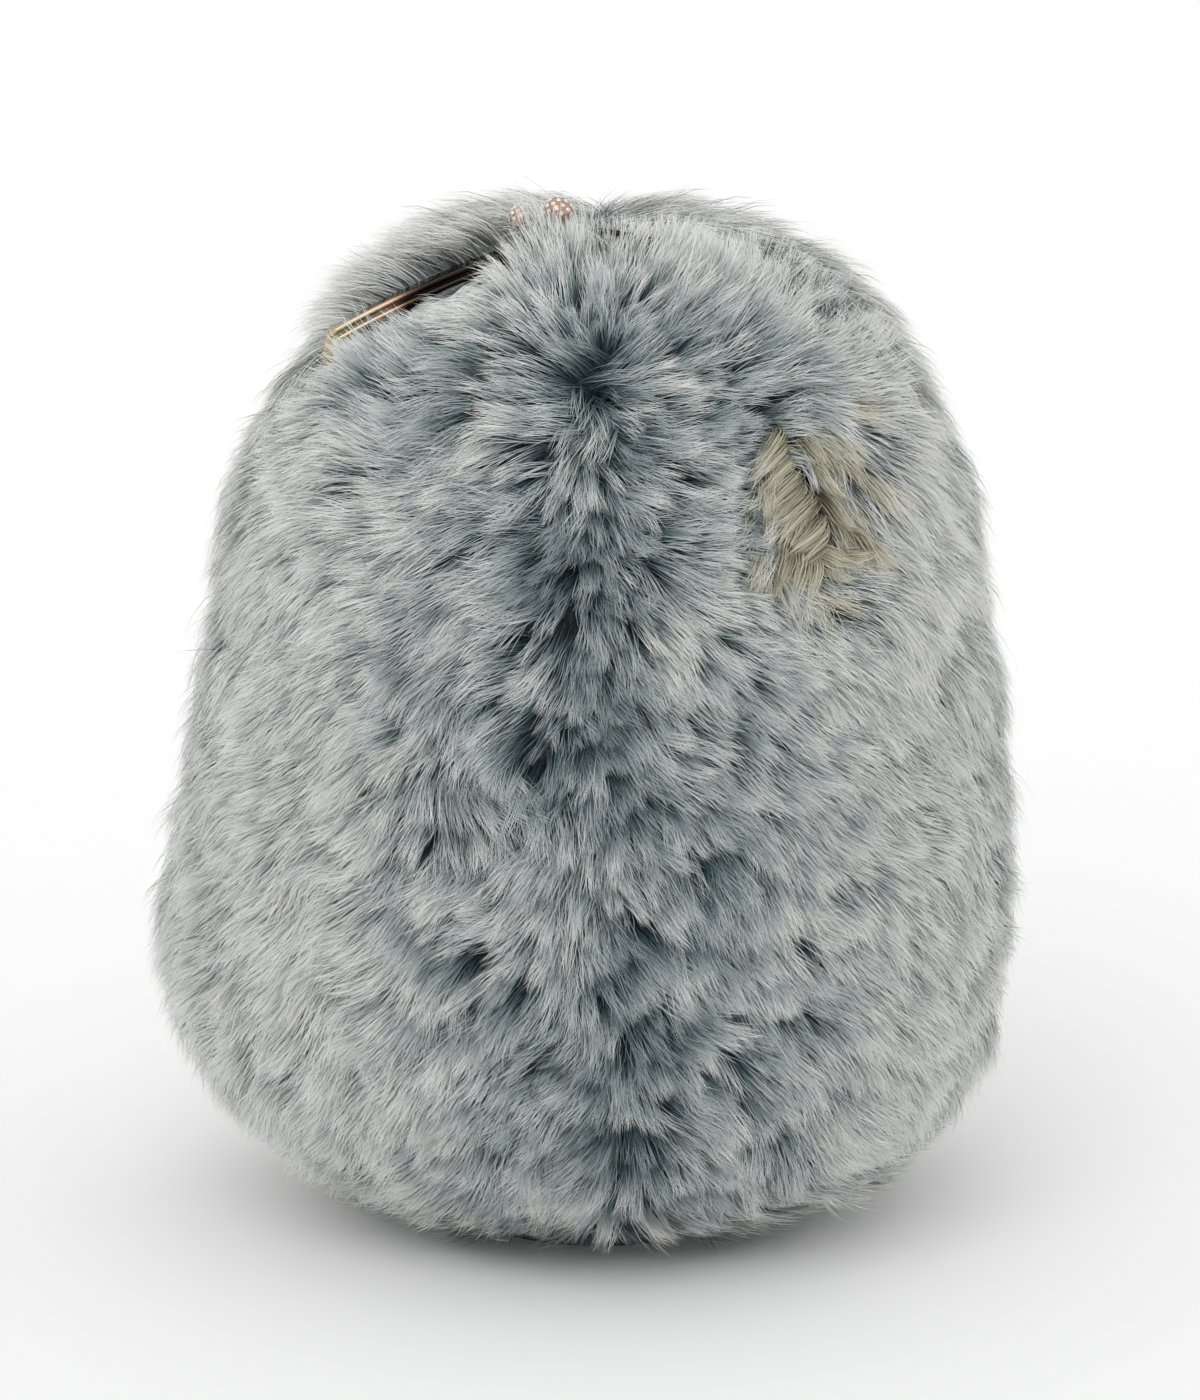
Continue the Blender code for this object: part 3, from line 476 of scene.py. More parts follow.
def nearest(places, points):
    """For each point, the number of the place nearest to it."""
    tree = kdtree.KDTree(len(places))
    for index, place in enumerate(places):
        tree.insert(place, index)
    tree.balance()
    return np.array([tree.find(point)[1] for point in points])


def features_at(tufts, fills_seam):
    """How strongly each feature of the fur shows at each tuft: mostly 0 to 1."""
    x, y, z = tufts.T
    front = y < HINGE.y
    slot_gap = np.abs(y - HINGE.y)
    by_rail = rail_shows(tufts)
    soft = softness(tufts)
    seam = bell(seam_offset(tufts), 9) * front
    # beside the slot behind the bare rail, strands are painted pale from the root: painted light against the
    # shadow there
    painted_light_by_slot = 0.85 * bell(slot_gap, 34) * by_rail * ~front
    return {
        "hollow": hollow_depth(tufts)[0],
        "soft": soft,
        "matted": matting(tufts),
        "margin": between(x, 12, 20, 27, 31) * between(z, 138, 144, 170, 176) * front,
        "filling": fills_seam,
        "front filling": fills_seam & front,
        "bare": (1 - ease(slot_gap, 4, 20)) * by_rail * front,
        "parted": bell(seam_offset(tufts), 4) * front,
        "behind rail": bell(slot_gap, 17) * by_rail * ~front,
        "by clasp": bell(np.hypot(x - CLASP.x, slot_gap), 10) * (z > HINGE.z) * front,
        "shaded front": bell(x, np.where(x < 0, 20, 38)) * between(z, 18, 36, 118, 136) * front,
        # the upper right shoulder painted paler: painted light where the key lamp reaches it less
        "pale shoulder": ease(x, 36, 58) * ease(z, 112, 132),
        "front seam": seam,
        "upper seam": seam * ease(z, 118, 138),
        "top seam": seam * ease(z, 180, 192),
        "patchy": waves(tufts, 16 * MM, 21) * (1 - 0.6 * soft),
        # pale from the root: painted light beside the slot, and paler strands over the top
        "pale root": np.maximum(painted_light_by_slot, 0.45 * ease(z, 180, 198)),
    }


def weighed(weights, features):
    return sum(weight * features[name] for name, weight in weights.items())


def grow_fur():
    """Every strand's points, its skin normal, its shade and its root, and which strands are tan."""
    t = np.linspace(0, 1, STEPS + 1)
    locks = scatter(LOCK_SPACING)
    tufts, fills_seam = place_tufts()
    lock_of = nearest(locks, tufts)
    lock_length = rng.normal(*LOCK_LENGTH, len(locks))
    lock_turn = rng.normal(0.0, LOCK_TURN, len(locks)) * (1 - SOFT_STEADIES[0] * softness(locks))
    lock_shade = rng.normal(0.0, LOCK_SHADE, len(locks))

    # the tufts
    normals = normals_at(tufts)
    direction = comb(tufts, normals)
    features = features_at(tufts, fills_seam)
    turn = rng.normal(0, TUFT_TURN, len(tufts)) * (1 - SOFT_STEADIES[1] * features["soft"])
    direction = turned(direction, np.cross(normals, direction), lock_turn[lock_of] + turn)
    length = PILE * lock_length[lock_of] * rng.normal(*TUFT_LENGTH, len(tufts))
    for name, loss in LENGTH_LOSS.items():
        length = length * (1 - loss * features[name])
    lift = rng.normal(0, TUFT_LIFT, len(tufts)) + np.radians(weighed(LIFT_DEGREES, features))
    gather = rng.normal(*TUFT_GATHER, len(tufts)) + weighed(GATHER_CHANGE, features)
    gather = np.clip(gather, *GATHER_LIMITS)
    start_tilt = ROOT_TILT - lift + BARE_LIFTS[0] * features["bare"]
    end_tilt = np.minimum(TIP_TILT - lift + BARE_LIFTS[1] * features["bare"], LOWEST_TILT)
    guide = arcs(tufts, normals, direction, length, start_tilt, end_tilt, t)

    # the strands' roots, spread over a disc at each tuft
    owner = np.repeat(np.arange(len(tufts)), STRANDS_PER_TUFT)
    radius = TUFT_RADIUS * (1 + 0.5 * features["matted"][owner]) * np.sqrt(rng.random(len(owner)))
    spin = rng.uniform(0, 2 * math.pi, len(owner))
    side = np.cross(normals, direction)[owner]
    roots = snap(tufts[owner] + radius[:, None] * turned(direction[owner], side, spin), BACKING)
    keep = grows(roots)
    owner, roots, side = owner[keep], roots[keep], side[keep]
    count = len(owner)

    # the strands' own arcs, drawn towards their tuft's and waved
    skin = normals_at(roots)
    heading = turned(direction[owner], side, rng.normal(0, STRAND_TURN, count))
    heading = flattened(heading, skin)
    own_length = length[owner] * rng.normal(*STRAND_LENGTH, count)
    tilt = rng.normal(0, STRAND_TILT, count)
    own_end = np.minimum(end_tilt[owner] + tilt, LOWEST_TILT)
    points = arcs(roots, skin, heading, own_length, start_tilt[owner] + tilt, own_end, t)
    pull = gather[owner][:, None] * t**GATHER_POWER
    points = points + (guide[owner] - points) * pull[:, :, None]
    curl = rng.normal(0, STRAND_CURL, count)[:, None] * own_length[:, None] * t**2
    wave = rng.normal(0, STRAND_WAVE, count)[:, None]
    turns = t * rng.uniform(*STRAND_WAVES, count)[:, None] + rng.random(count)[:, None]
    wave = wave * np.sin(2 * math.pi * turns)
    points = points + np.cross(skin, heading)[:, None] * (curl + wave * t)[:, :, None]
    points = points + skin[:, None] * (lumps(roots)[:, None] * np.sqrt(t))[:, :, None]
    floor = FLOOR_GAP * rng.uniform(1, 5, count)[:, None]
    points[:, :, 2] = np.maximum(points[:, :, 2], floor)

    # their shades
    shade = rng.normal(*TUFT_SHADE, len(tufts)) + weighed(SHADE_CHANGE, features)
    shade = shade + lock_shade[lock_of] * (1 - features["soft"])
    shade = np.clip(shade[owner] + rng.normal(0, STRAND_SHADE, count), DARKEST, PALE_FROM)
    # strands with painted light beside the slot, and those over the top, turn pale from the root
    shade = shade + (1 - shade) * features["pale root"][owner]
    tan = (rng.random(len(tufts)) < TAN_SHARE * np.sqrt(features["matted"]))[owner]
    return [points, skin, shade, roots], tan


# Matted locks round the slit: root and tip, across and up the front, and the width at the root, in mm
MATTED_LOCKS = [
    (33, 171, 27, 163, 1.8), (34, 168, 26, 160, 2.0), (36, 165, 28, 158, 1.8),
    (38, 162, 28, 155, 2.4), (39, 160, 29, 152, 2.8), (41, 158, 30, 149, 3.0),
    (42, 155, 31, 146, 2.4), (43, 152, 33, 144, 2.0), (34, 170, 41, 160, 1.8),
    (37, 165, 44, 154, 2.0), (40, 159, 47, 148, 2.0), (43, 153, 50, 142, 2.0),
    (45, 149, 53, 141, 1.8), (34, 152, 30, 139, 2.0), (37, 150, 33, 137, 2.0),
    (39, 149, 36, 136, 1.8), (40, 146, 51, 145, 2.2), (37, 149, 47, 143, 2.0),
]
LOCK_STRANDS = 80
LOCK_RISE = 8.6 * MM  # height of a matted lock above the backing
MATTED_SHADE = (0.58, 0.16)  # mean and spread of a matted lock's shade


def grow_locks():
    """The matted locks' points, skin normals, shades and roots: each lock's strands close on its tip."""
    t = np.linspace(0, 1, STEPS + 1)
    made = []
    for root_x, root_z, tip_x, tip_z, width in MATTED_LOCKS:
        start = front_place(root_x * MM, root_z * MM, BACKING)
        end = front_place(tip_x * MM, tip_z * MM, BACKING)
        normal = normals_at(np.array([start, end]))
        along = unit(end - start)
        across = np.cross(normal[0], along)
        spin = rng.uniform(0, 2 * math.pi, LOCK_STRANDS)
        radius = width / 2 * MM * np.sqrt(rng.random(LOCK_STRANDS))
        reach = rng.uniform(0.55, 1.1, LOCK_STRANDS)[:, None] * t
        spread = radius[:, None] * (1 - 0.4 * reach)
        rise = LOCK_RISE * rng.uniform(0.6, 1.0, LOCK_STRANDS)[:, None] * np.sin(np.minimum(reach * 3.4, 1.9))
        bow = rng.normal(0, 0.8 * MM) + rng.normal(0, 0.7 * MM, LOCK_STRANDS)[:, None]
        bow = bow * np.sin(reach * math.pi)
        points = start + (end - start) * reach[:, :, None]
        points = points + across * (spread * np.cos(spin)[:, None] + bow)[:, :, None]
        points = points + normal[0] * (spread * np.sin(spin)[:, None] * 0.6 + rise)[:, :, None]
        shade = rng.normal(*MATTED_SHADE) + rng.normal(0, 0.22, LOCK_STRANDS)
        shade = np.clip(shade, DARKEST, PALE_FROM)
        skin = np.repeat(normal[:1], LOCK_STRANDS, axis=0)
        made.append((points, skin, shade, np.repeat(start[None], LOCK_STRANDS, axis=0)))
    return [np.concatenate(share) for share in zip(*made)]


RIBBON_ROLL = math.radians(28)
RIBBON_WIDTHS = (0.75, 1.25)  # least and most width, as a share of the usual
FACING = (0.75, 0.35, -0.25)  # a strand's shading normal: parts of the skin's, its own way and their cross


def ribbon_mesh(name, points, skin, shade):
    """Flat tapered ribbons along the strands. The UV map holds shade across and the way to the tip up."""
    count, steps = points.shape[0], points.shape[1] - 1
    t = np.linspace(0, 1, steps + 1)
    tangent = unit(np.gradient(points, axis=1))
    across = unit(np.cross(tangent, skin[:, None]))
    roll = rng.normal(0, RIBBON_ROLL, count)[:, None, None]
    lifted = np.cross(across, tangent)
    across = across * np.cos(roll) + lifted * np.sin(roll)
    taper = (1 - TAPER_SHARE * t**2.2) * ROOT_WIDTH / 2
    thick = rng.uniform(*RIBBON_WIDTHS, count)[:, None, None]
    half = across * taper[None, :, None] * thick
    pairs = 2 * steps  # points in the rows of two; the last point is the tip

    def in_rows(left, right, tips):
        rows = np.empty((count, pairs + 1, 3), np.float32)
        rows[:, 0:pairs:2] = left[:, :-1]
        rows[:, 1:pairs:2] = right[:, :-1]
        rows[:, -1] = tips[:, -1]
        return rows

    vertices = in_rows(points - half, points + half, points)
    faces = []
    for low in range(0, pairs - 2, 2):
        faces += [low, low + 1, low + 3, low + 2]
    faces += [pairs - 2, pairs - 1, pairs]
    corners = np.array(faces, np.int32)
    sizes = np.array([4] * (steps - 1) + [3], np.int32)
    start = np.arange(count, dtype=np.int32)[:, None]
    loops = (corners[None] + start * (pairs + 1)).ravel()
    totals = np.tile(sizes, count)
    mesh = bpy.data.meshes.new(name)
    mesh.vertices.add(count * (pairs + 1))
    mesh.vertices.foreach_set("co", vertices.ravel())
    mesh.loops.add(len(loops))
    mesh.loops.foreach_set("vertex_index", loops)
    mesh.polygons.add(len(totals))
    mesh.polygons.foreach_set("loop_start", np.cumsum(totals) - totals)
    mesh.update(calc_edges=True)
    way = np.append(np.repeat(t[:-1], 2), 1.0)[corners]
    uv = np.empty((count, len(corners), 2), np.float32)
    uv[:, :, 0] = shade[:, None]
    uv[:, :, 1] = way[None] * 0.98 + 0.01
    mesh.uv_layers.new(name="OFBake").uv.foreach_set("vector", uv.ravel())
    axes = (skin[:, None], tangent, np.cross(tangent, across))
    facing = unit(sum(part * axis for part, axis in zip(FACING, axes)))
    normals = in_rows(facing, facing, facing)
    mesh.polygons.foreach_set("use_smooth", np.ones(len(totals), bool))
    mesh.normals_split_custom_set_from_vertices(normals.reshape(-1, 3))
    return mesh


# ---- materials
def blank_material(name, roughness, metallic=0.0):
    """A material, its node tree and its shader."""
    made = bpy.data.materials.new(name)
    made.use_nodes = True
    shader = made.node_tree.nodes["Principled BSDF"]
    shader.inputs["Roughness"].default_value = roughness
    shader.inputs["Metallic"].default_value = metallic
    return made, made.node_tree, shader


def connect(tree, node, inputs):
    """Sets each named input to a value, or links it to another node's output."""
    for name, value in inputs.items():
        if isinstance(value, bpy.types.NodeSocket):
            tree.links.new(value, node.inputs[name])
        else:
            node.inputs[name].default_value = value


def add_node(tree, kind, inputs, **settings):
    node = tree.nodes.new(f"ShaderNode{kind}")
    for setting, value in settings.items():
        setattr(node, setting, value)
    connect(tree, node, inputs)
    return node


def maths(tree, operation, *values):
    return add_node(tree, "Math", dict(enumerate(values)), operation=operation).outputs[0]


def ramp(tree, stops, position):
    """The colour at a position between 0 and 1 along the stops."""
    node = add_node(tree, "ValToRGB", {0: position})
    elements = node.color_ramp.elements
    elements.remove(elements[-1])
    elements[0].position = stops[0][0]
    elements[0].color = (*stops[0][1], 1)
    for place, colour in stops[1:]:
        elements.new(place).color = (*colour, 1)
    return node.outputs["Color"]


SHADE_SWAY = 0.50  # how far a strand's shade moves the place where it pales


def fur_material(name, along, tints):
    """Dark roots that pale to the tips. Shade, across the UV map, sets how soon they do."""
    made, tree, shader = blank_material(name, 0.62)
    uv = add_node(tree, "UVMap", {}, uv_map="OFBake").outputs["UV"]
    shade, way = add_node(tree, "SeparateXYZ", {0: uv}).outputs[:2]
    shift = maths(tree, "MULTIPLY_ADD", shade, SHADE_SWAY, way)
    # shades above PALE_FROM make a strand pale from its root: the painted light beside the slot
    extra = maths(tree, "MAXIMUM", maths(tree, "SUBTRACT", shade, PALE_FROM), 0.0)
    shift = maths(tree, "MULTIPLY_ADD", extra, SHADE_SWAY / (1 - PALE_FROM), shift)
    low = ramp(tree, along, maths(tree, "DIVIDE", shift, 1 + SHADE_SWAY))
    mixed = {"Factor": 1.0, "A": low, "B": ramp(tree, tints, shade)}
    mix = tree.nodes.new("ShaderNodeMix")
    mix.data_type = "RGBA"
    mix.blend_type = "MULTIPLY"
    connect(tree, mix, mixed)
    connect(tree, shader, {"Base Color": mix.outputs["Result"], "Specular IOR Level": 0.2})
    return made


GREY_FUR = fur_material(
    "fur_grey",
    [
        (0.00, (0.012, 0.022, 0.027)),
        (0.30, (0.030, 0.052, 0.062)),
        (0.46, (0.110, 0.155, 0.165)),
        (0.60, (0.42, 0.47, 0.47)),
        (0.76, (0.80, 0.81, 0.79)),
        (1.00, (0.90, 0.90, 0.88)),
    ],
    [(0.0, (0.80, 0.86, 0.88)), (0.5, (0.96, 0.98, 0.98)), (1.0, (1.0, 0.99, 0.97))],
)
TAN_FUR = fur_material(
    "fur_tan",
    [
        (0.00, (0.030, 0.032, 0.026)),
        (0.30, (0.13, 0.12, 0.085)),
        (0.50, (0.42, 0.39, 0.29)),
        (0.72, (0.70, 0.67, 0.56)),
        (1.00, (0.86, 0.84, 0.78)),
    ],
    [(0.0, (0.80, 0.82, 0.74)), (1.0, (1.0, 0.99, 0.97))],
)


def texture(tree, kind, size, inputs, **settings):
    """A texture node whose unit is the size, in mm, along each of the object's axes."""
    place = add_node(tree, "TexCoord", {}).outputs["Object"]
    scale = [1 / (length * MM) for length in size]
    mapping = add_node(tree, "Mapping", {"Vector": place, "Scale": scale})
    return add_node(tree, kind, {"Scale": 1.0, "Vector": mapping.outputs["Vector"], **inputs}, **settings)


def noise(tree, size, detail=4.0):
    return texture(tree, "TexNoise", size, {"Detail": detail}).outputs["Fac"]


def grain(size, detail):
    """A function that makes noise of this size in a material's tree."""
    return lambda tree: noise(tree, size, detail)


def cells(size):
    """A function that makes cells of this size in a material's tree."""
    return lambda tree: texture(tree, "TexVoronoi", (size,) * 3, {}).outputs["Distance"]


WAVE_PERIOD = math.pi / 10  # length of one band of a wave texture at scale 1


def bands(tree, pitch, direction):
    size = (pitch / WAVE_PERIOD,) * 3
    return texture(tree, "TexWave", size, {"Distortion": 0.4}, bands_direction=direction).outputs["Fac"]


def weave(tree, pitch):
    crossed = maths(tree, "MAXIMUM", bands(tree, pitch, "Z"), bands(tree, pitch, "DIAGONAL"))
    return maths(tree, "MULTIPLY", crossed, bands(tree, pitch * 1.7, "X"))


def bump_shader(tree, shader, height, strength, distance):
    bump = add_node(tree, "Bump", {"Strength": strength, "Distance": distance * MM, "Height": height})
    connect(tree, shader, {"Normal": bump.outputs["Normal"]})


def surface_material(name, stops, roughness, height, bump, metallic=0.0, sheen=0.0):
    """A material coloured and made rough by a pattern and by a wider wear pattern, and bumped by the first.

    height makes the pattern's output in the material's tree.
    """
    made, tree, shader = blank_material(name, roughness, metallic)
    pattern = height(tree)
    mottle = noise(tree, (9, 9, 9))
    mixed = maths(tree, "MULTIPLY_ADD", mottle, 0.5, maths(tree, "MULTIPLY", pattern, 0.5))
    spread = 0.25 * roughness
    rough = maths(tree, "MULTIPLY_ADD", mottle, 2 * spread, roughness - spread)
    connect(tree, shader, {"Base Color": ramp(tree, stops, mixed), "Roughness": rough, "Sheen Weight": sheen})
    bump_shader(tree, shader, pattern, bump, 0.3)
    return made


def fabric(name, dark, pale, pitch):
    stops = [(0.2, dark), (0.8, pale)]
    return surface_material(name, stops, 0.85, lambda tree: weave(tree, pitch), 0.6, sheen=0.3)


def moulding(name, dark, pale, roughness):
    return surface_material(name, [(0.3, dark), (0.7, pale)], roughness, grain((0.5, 0.5, 0.5), 6.0), 0.15)


def brushed(name, dark, pale, roughness):
    lines = grain((6, 0.25, 0.25), 3.0)
    return surface_material(name, [(0.3, dark), (0.7, pale)], roughness, lines, 0.08, metallic=1.0)


RAIL_REFLECTION_SPAN = (-50 * MM, -31 * MM)  # sideways places between which the painted reflection on the plating goes from champagne to bronze
# The plating's colour along the rail: its own champagne, then a painted reflection that darkens to bronze and
# near black
RAIL_PAINTED_REFLECTION = [
    (0.10, (0.55, 0.47, 0.30)),
    (0.36, (0.62, 0.50, 0.36)),
    (0.58, (0.52, 0.34, 0.24)),
    (0.74, (0.10, 0.065, 0.050)),
    (0.95, (0.030, 0.022, 0.018)),
]


def rail_reflection_material():
    """Champagne plating with fine polishing lines, and a painted reflection that darkens it to bronze and
    near black along the rail.
    """
    made, tree, shader = blank_material("rail_plating", 0.2, metallic=1.0)
    lines = noise(tree, (8, 0.3, 0.3), 3.0)
    mottle = noise(tree, (6, 6, 6))
    place = add_node(tree, "TexCoord", {}).outputs["Object"]
    sideways = add_node(tree, "SeparateXYZ", {0: place}).outputs["X"]
    way = maths(tree, "DIVIDE", maths(tree, "SUBTRACT", sideways, RAIL_REFLECTION_SPAN[0]), RAIL_REFLECTION_SPAN[1] - RAIL_REFLECTION_SPAN[0])
    # painted reflection: the colour follows the place along the rail, broken up by the mottle
    colour = ramp(tree, RAIL_PAINTED_REFLECTION, maths(tree, "MULTIPLY_ADD", mottle, 0.24, way))
    rough = maths(tree, "MULTIPLY_ADD", lines, 0.16, 0.10)
    connect(tree, shader, {"Base Color": colour, "Roughness": rough})
    bump_shader(tree, shader, lines, 0.05, 0.1)
    return made


BACKING_KNIT = fabric("backing_knit", (0.020, 0.030, 0.036), (0.075, 0.095, 0.105), 0.9)
# a paler copy of the backing knit: painted light on the rear lobe, where the backing shows in shadow behind
# the rail
PAINTED_LIGHT_KNIT = fabric("pale_knit", (0.26, 0.29, 0.30), (0.44, 0.46, 0.46), 0.9)
SUEDE = surface_material(
    "suede",
    [(0.2, (0.20, 0.16, 0.10)), (0.8, (0.46, 0.39, 0.28))],
    0.9,
    grain((0.7, 0.7, 0.7), 6.0),
    0.5,
    sheen=0.4,
)
FINISHES = {
    # the rails and their rolled edges carry the plating's painted reflection
    "frame_rail": rail_reflection_material(),
    "clasp_knob": brushed("knob_plating", (0.36, 0.20, 0.13), (0.66, 0.46, 0.36), 0.22),
    "mouth_binding": fabric("grosgrain", (0.05, 0.055, 0.06), (0.14, 0.15, 0.16), 0.6),
    "hinge_rivet": brushed("zinc", (0.42, 0.43, 0.45), (0.66, 0.67, 0.69), 0.32),
    "hinge_anchor": fabric("webbing", (0.04, 0.045, 0.05), (0.12, 0.13, 0.14), 1.1),
    "lining": fabric("lining_mesh", (0.018, 0.022, 0.026), (0.085, 0.095, 0.105), 1.2),
    "foam": surface_material(
        "open_cell_foam",
        [(0.15, (0.010, 0.011, 0.013)), (0.75, (0.085, 0.088, 0.095))],
        0.95,
        cells(1.3),
        0.9,
    ),
    "seam_tape": fabric("twill_tape", (0.09, 0.10, 0.11), (0.22, 0.24, 0.25), 0.8),
    "mic_pocket": fabric("elastic_knit", (0.015, 0.016, 0.02), (0.06, 0.065, 0.075), 0.8),
    "collar_ring": moulding("nylon", (0.018, 0.018, 0.021), (0.05, 0.05, 0.055), 0.45),
    "collar_backplate": moulding("nylon_plate", (0.022, 0.022, 0.026), (0.055, 0.055, 0.06), 0.5),
    "collar_gland": moulding("rubber", (0.012, 0.012, 0.012), (0.035, 0.034, 0.033), 0.75),
    "collar_screw": brushed("screw_steel", (0.40, 0.41, 0.43), (0.64, 0.65, 0.67), 0.3),
    "drawcord": fabric("braided_cord", (0.03, 0.033, 0.036), (0.11, 0.115, 0.12), 0.7),
    "cord_lock_body": moulding("acetal", (0.020, 0.021, 0.024), (0.055, 0.057, 0.062), 0.4),
    "cord_lock_button": moulding("acetal_grey", (0.06, 0.065, 0.07), (0.13, 0.135, 0.14), 0.42),
    "cord_lock_spring": brushed("spring_steel", (0.35, 0.36, 0.38), (0.60, 0.61, 0.63), 0.28),
}
STONE = surface_material(
    "clear_stone",
    [(0.3, (0.55, 0.50, 0.47)), (0.7, (0.95, 0.94, 0.93))],
    0.06,
    cells(0.5),
    0.2,
    metallic=0.5,
)


# ---- build the fur
def linked(name, mesh, material):
    mesh.materials.append(material)
    piece = bpy.data.objects.new(name, mesh)
    bpy.context.scene.collection.objects.link(piece)
    return piece


def mesh_of(name, sheet):
    mesh = bpy.data.meshes.new(name)
    sheet.to_mesh(mesh)
    sheet.free()
    return mesh


def thicken(piece, thickness):
    """Makes a sheet solid on its inner side."""
    solid = piece.modifiers.new("thickness", "SOLIDIFY")
    solid.thickness = thickness
    solid.offset = -1


def circle_angles(sides):
    return [2 * math.pi * side / sides for side in range(sides)]


def skin_rings(sheet, rows):
    """Smooth faces between rings of vertices."""
    for before, after in zip(rows, rows[1:]):
        for side in range(len(before)):
            beyond = (side + 1) % len(before)
            face = sheet.faces.new((before[side], before[beyond], after[beyond], after[side]))
            face.smooth = True


def bend_over_fold(piece, part, reach):
    """Bakes the piece's placing into its mesh; it does not bend the piece."""
    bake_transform(piece)


RIDES = {
    "base": "cover", "body_front": "cover", "body_rear": "cover",
    "lobe_front": "front_half", "lobe_rear": "rear_half",
}
PARTS = [*RIDES, "gusset_front", "gusset_rear"]
GUSSET_EDGES = [0.0, 20 * MM, 42 * MM, 64 * MM, 200 * MM]  # distances from the hinge where a gusset is split
GUSSET_LAST = 72 * MM  # distance from the hinge given for the outermost split piece


def nodes_of(part):
    """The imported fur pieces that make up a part."""
    return [name for name in packed if name.startswith("fur_" + part.replace("body_", ""))]


def zones_of(part):
    """Each split piece of a part: the end of its name, its limits and, on a gusset, a distance from the
    hinge.
    """
    if part in RIDES:
        yield "", 0, math.inf, None
        return
    for index, (near, far) in enumerate(zip(GUSSET_EDGES, GUSSET_EDGES[1:]), 1):
        yield f"_{index}", near, far, min((near + far) / 2, GUSSET_LAST)


def settle(piece, part, bend):
    """Makes a piece move with its part; a gusset piece is only baked in place."""
    if bend is None:
        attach(piece, RIDES[part])
    else:
        bend_over_fold(piece, part, bend)


def fur_pieces(name, strands, chosen, material):
    """Objects that hold the chosen strands, split by height so that none is too big."""
    points, skin, shade, roots = strands
    order = np.flatnonzero(chosen)
    order = order[np.argsort(roots[order, 2], kind="stable")]
    number = math.ceil(len(order) / MAX_STRANDS)
    for index, share in enumerate(np.array_split(order, max(number, 1)), 1):
        if len(share):
            mesh = ribbon_mesh(f"{name}_{index}", points[share], skin[share], shade[share])
            yield linked(f"{name}_{index}", mesh, material)


def lay_fur(name, strands, material):
    """Splits the strands by the part they grow on, and makes each split piece move with that part, except on
    the gussets, where it stays in place.
    """
    roots = strands[3]
    region = region_of(roots)
    reach = np.abs(roots[:, 1] - HINGE.y)
    for part in PARTS:
        for end, near, far, bend in zones_of(part):
            chosen = (region == part) & (reach >= near) & (reach < far)
            for piece in fur_pieces(f"{name}_{part}{end}", strands, chosen, material):
                settle(piece, part, bend)
                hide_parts(*nodes_of(part))


# ---- the knitted backing under the pile
def backing_mesh(node):
    """The inner skin of a packed fur node, smoothed onto the backing's surface."""
    sheet = bmesh.new()
    sheet.from_mesh(packed[node].data)
    places = np.array([vertex.co for vertex in sheet.verts])
    inner = np.linalg.norm(places - snap(places, 0.0), axis=1) > BACKING / 2
    outer = [vertex for vertex, deep in zip(sheet.verts, inner) if not deep]
    bmesh.ops.delete(sheet, geom=outer, context="VERTS")
    bmesh.ops.subdivide_edges(sheet, edges=sheet.edges[:], cuts=1, use_grid_fill=True)
    for vertex in sheet.verts:
        vertex.co = snap(np.array([vertex.co]), BACKING)[0]
    for face in sheet.faces:
        face.smooth = True
    return sheet


def backing_piece(name, sheet, node):
    # the rear lobe's backing is painted lighter, as painted light behind the rail
    knit = PAINTED_LIGHT_KNIT if "lobe_rear" in name else BACKING_KNIT
    piece = linked(name, mesh_of(name, sheet), knit)
    thicken(piece, BACKING_THICK)
    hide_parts(node)
    return piece


def cut_to_zone(sheet, side, near, far):
    """Cuts off what lies outside two distances from the hinge."""
    for edge, sign in ((near, -1), (far, 1)):
        bmesh.ops.bisect_plane(
            sheet,
            geom=sheet.verts[:] + sheet.edges[:] + sheet.faces[:],
            plane_co=(0, HINGE.y + side * edge, 0),
            plane_no=(0, side * sign, 0),
            clear_outer=True,
        )


def lay_backing():
    for part in PARTS:
        side = -1 if part.endswith("front") else 1
        for node in nodes_of(part):
            for end, near, far, bend in zones_of(part):
                sheet = backing_mesh(node)
                if bend is not None:
                    cut_to_zone(sheet, side, near, far)
                if sheet.faces:
                    name = node.replace("fur_", "backing_") + end
                    settle(backing_piece(name, sheet, node), part, bend)


lay_backing()
strands, tan = grow_fur()
lay_fur("pile", [share[~tan] for share in strands], GREY_FUR)
loose = [share[tan] for share in strands]
lay_fur("matted", [np.concatenate(pair) for pair in zip(loose, grow_locks())], TAN_FUR)


# ---- the suede patch round the cable slit
PATCH_DEPTH = 8.2 * MM  # depth of the suede's inner face below the surface of the fur
PATCH_THICK = 0.7 * MM
SLIT_SHARE = (0.17, 0.68)  # the slit's half width and half height as shares of the patch's
LIP_CURL = 0.9 * MM
LIP_SHARE = 0.18  # share of the way to the edge over which the lips curl
PATCH_RINGS = 10
PATCH_SIDES = 64


def suede_patch():
    """An oval of suede with a slit in its middle and lips that curl out."""
    sheet = bmesh.new()
    rows = []
    for ring in range(PATCH_RINGS + 1):
        way = ring / PATCH_RINGS
        half_x = PATCH_HALF_X * (SLIT_SHARE[0] + (1 - SLIT_SHARE[0]) * way)
        half_z = PATCH_HALF_Z * (SLIT_SHARE[1] + (1 - SLIT_SHARE[1]) * way)
        depth = PATCH_DEPTH - LIP_CURL * math.exp(-((way / LIP_SHARE) ** 2))
        edge = [(half_x * math.cos(a), half_z * math.sin(a)) for a in circle_angles(PATCH_SIDES)]
        rows.append([sheet.verts.new(front_place(PATCH.x + x, PATCH.z + z, depth)) for x, z in edge])
    skin_rings(sheet, rows)
    piece = linked("suede_patch", mesh_of("suede_patch", sheet), SUEDE)
    thicken(piece, PATCH_THICK)
    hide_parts("cable_slit_patch")
    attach(piece, "front_half")


suede_patch()


# ---- the foam's pitted skin
FOAM_VOXEL = 1.3 * MM
FOAM_SOFTEN = 4  # smoothing passes that round the foam's edges
PIT_LENGTH = 4.5 * MM
PIT_DEPTH = 0.22 * MM


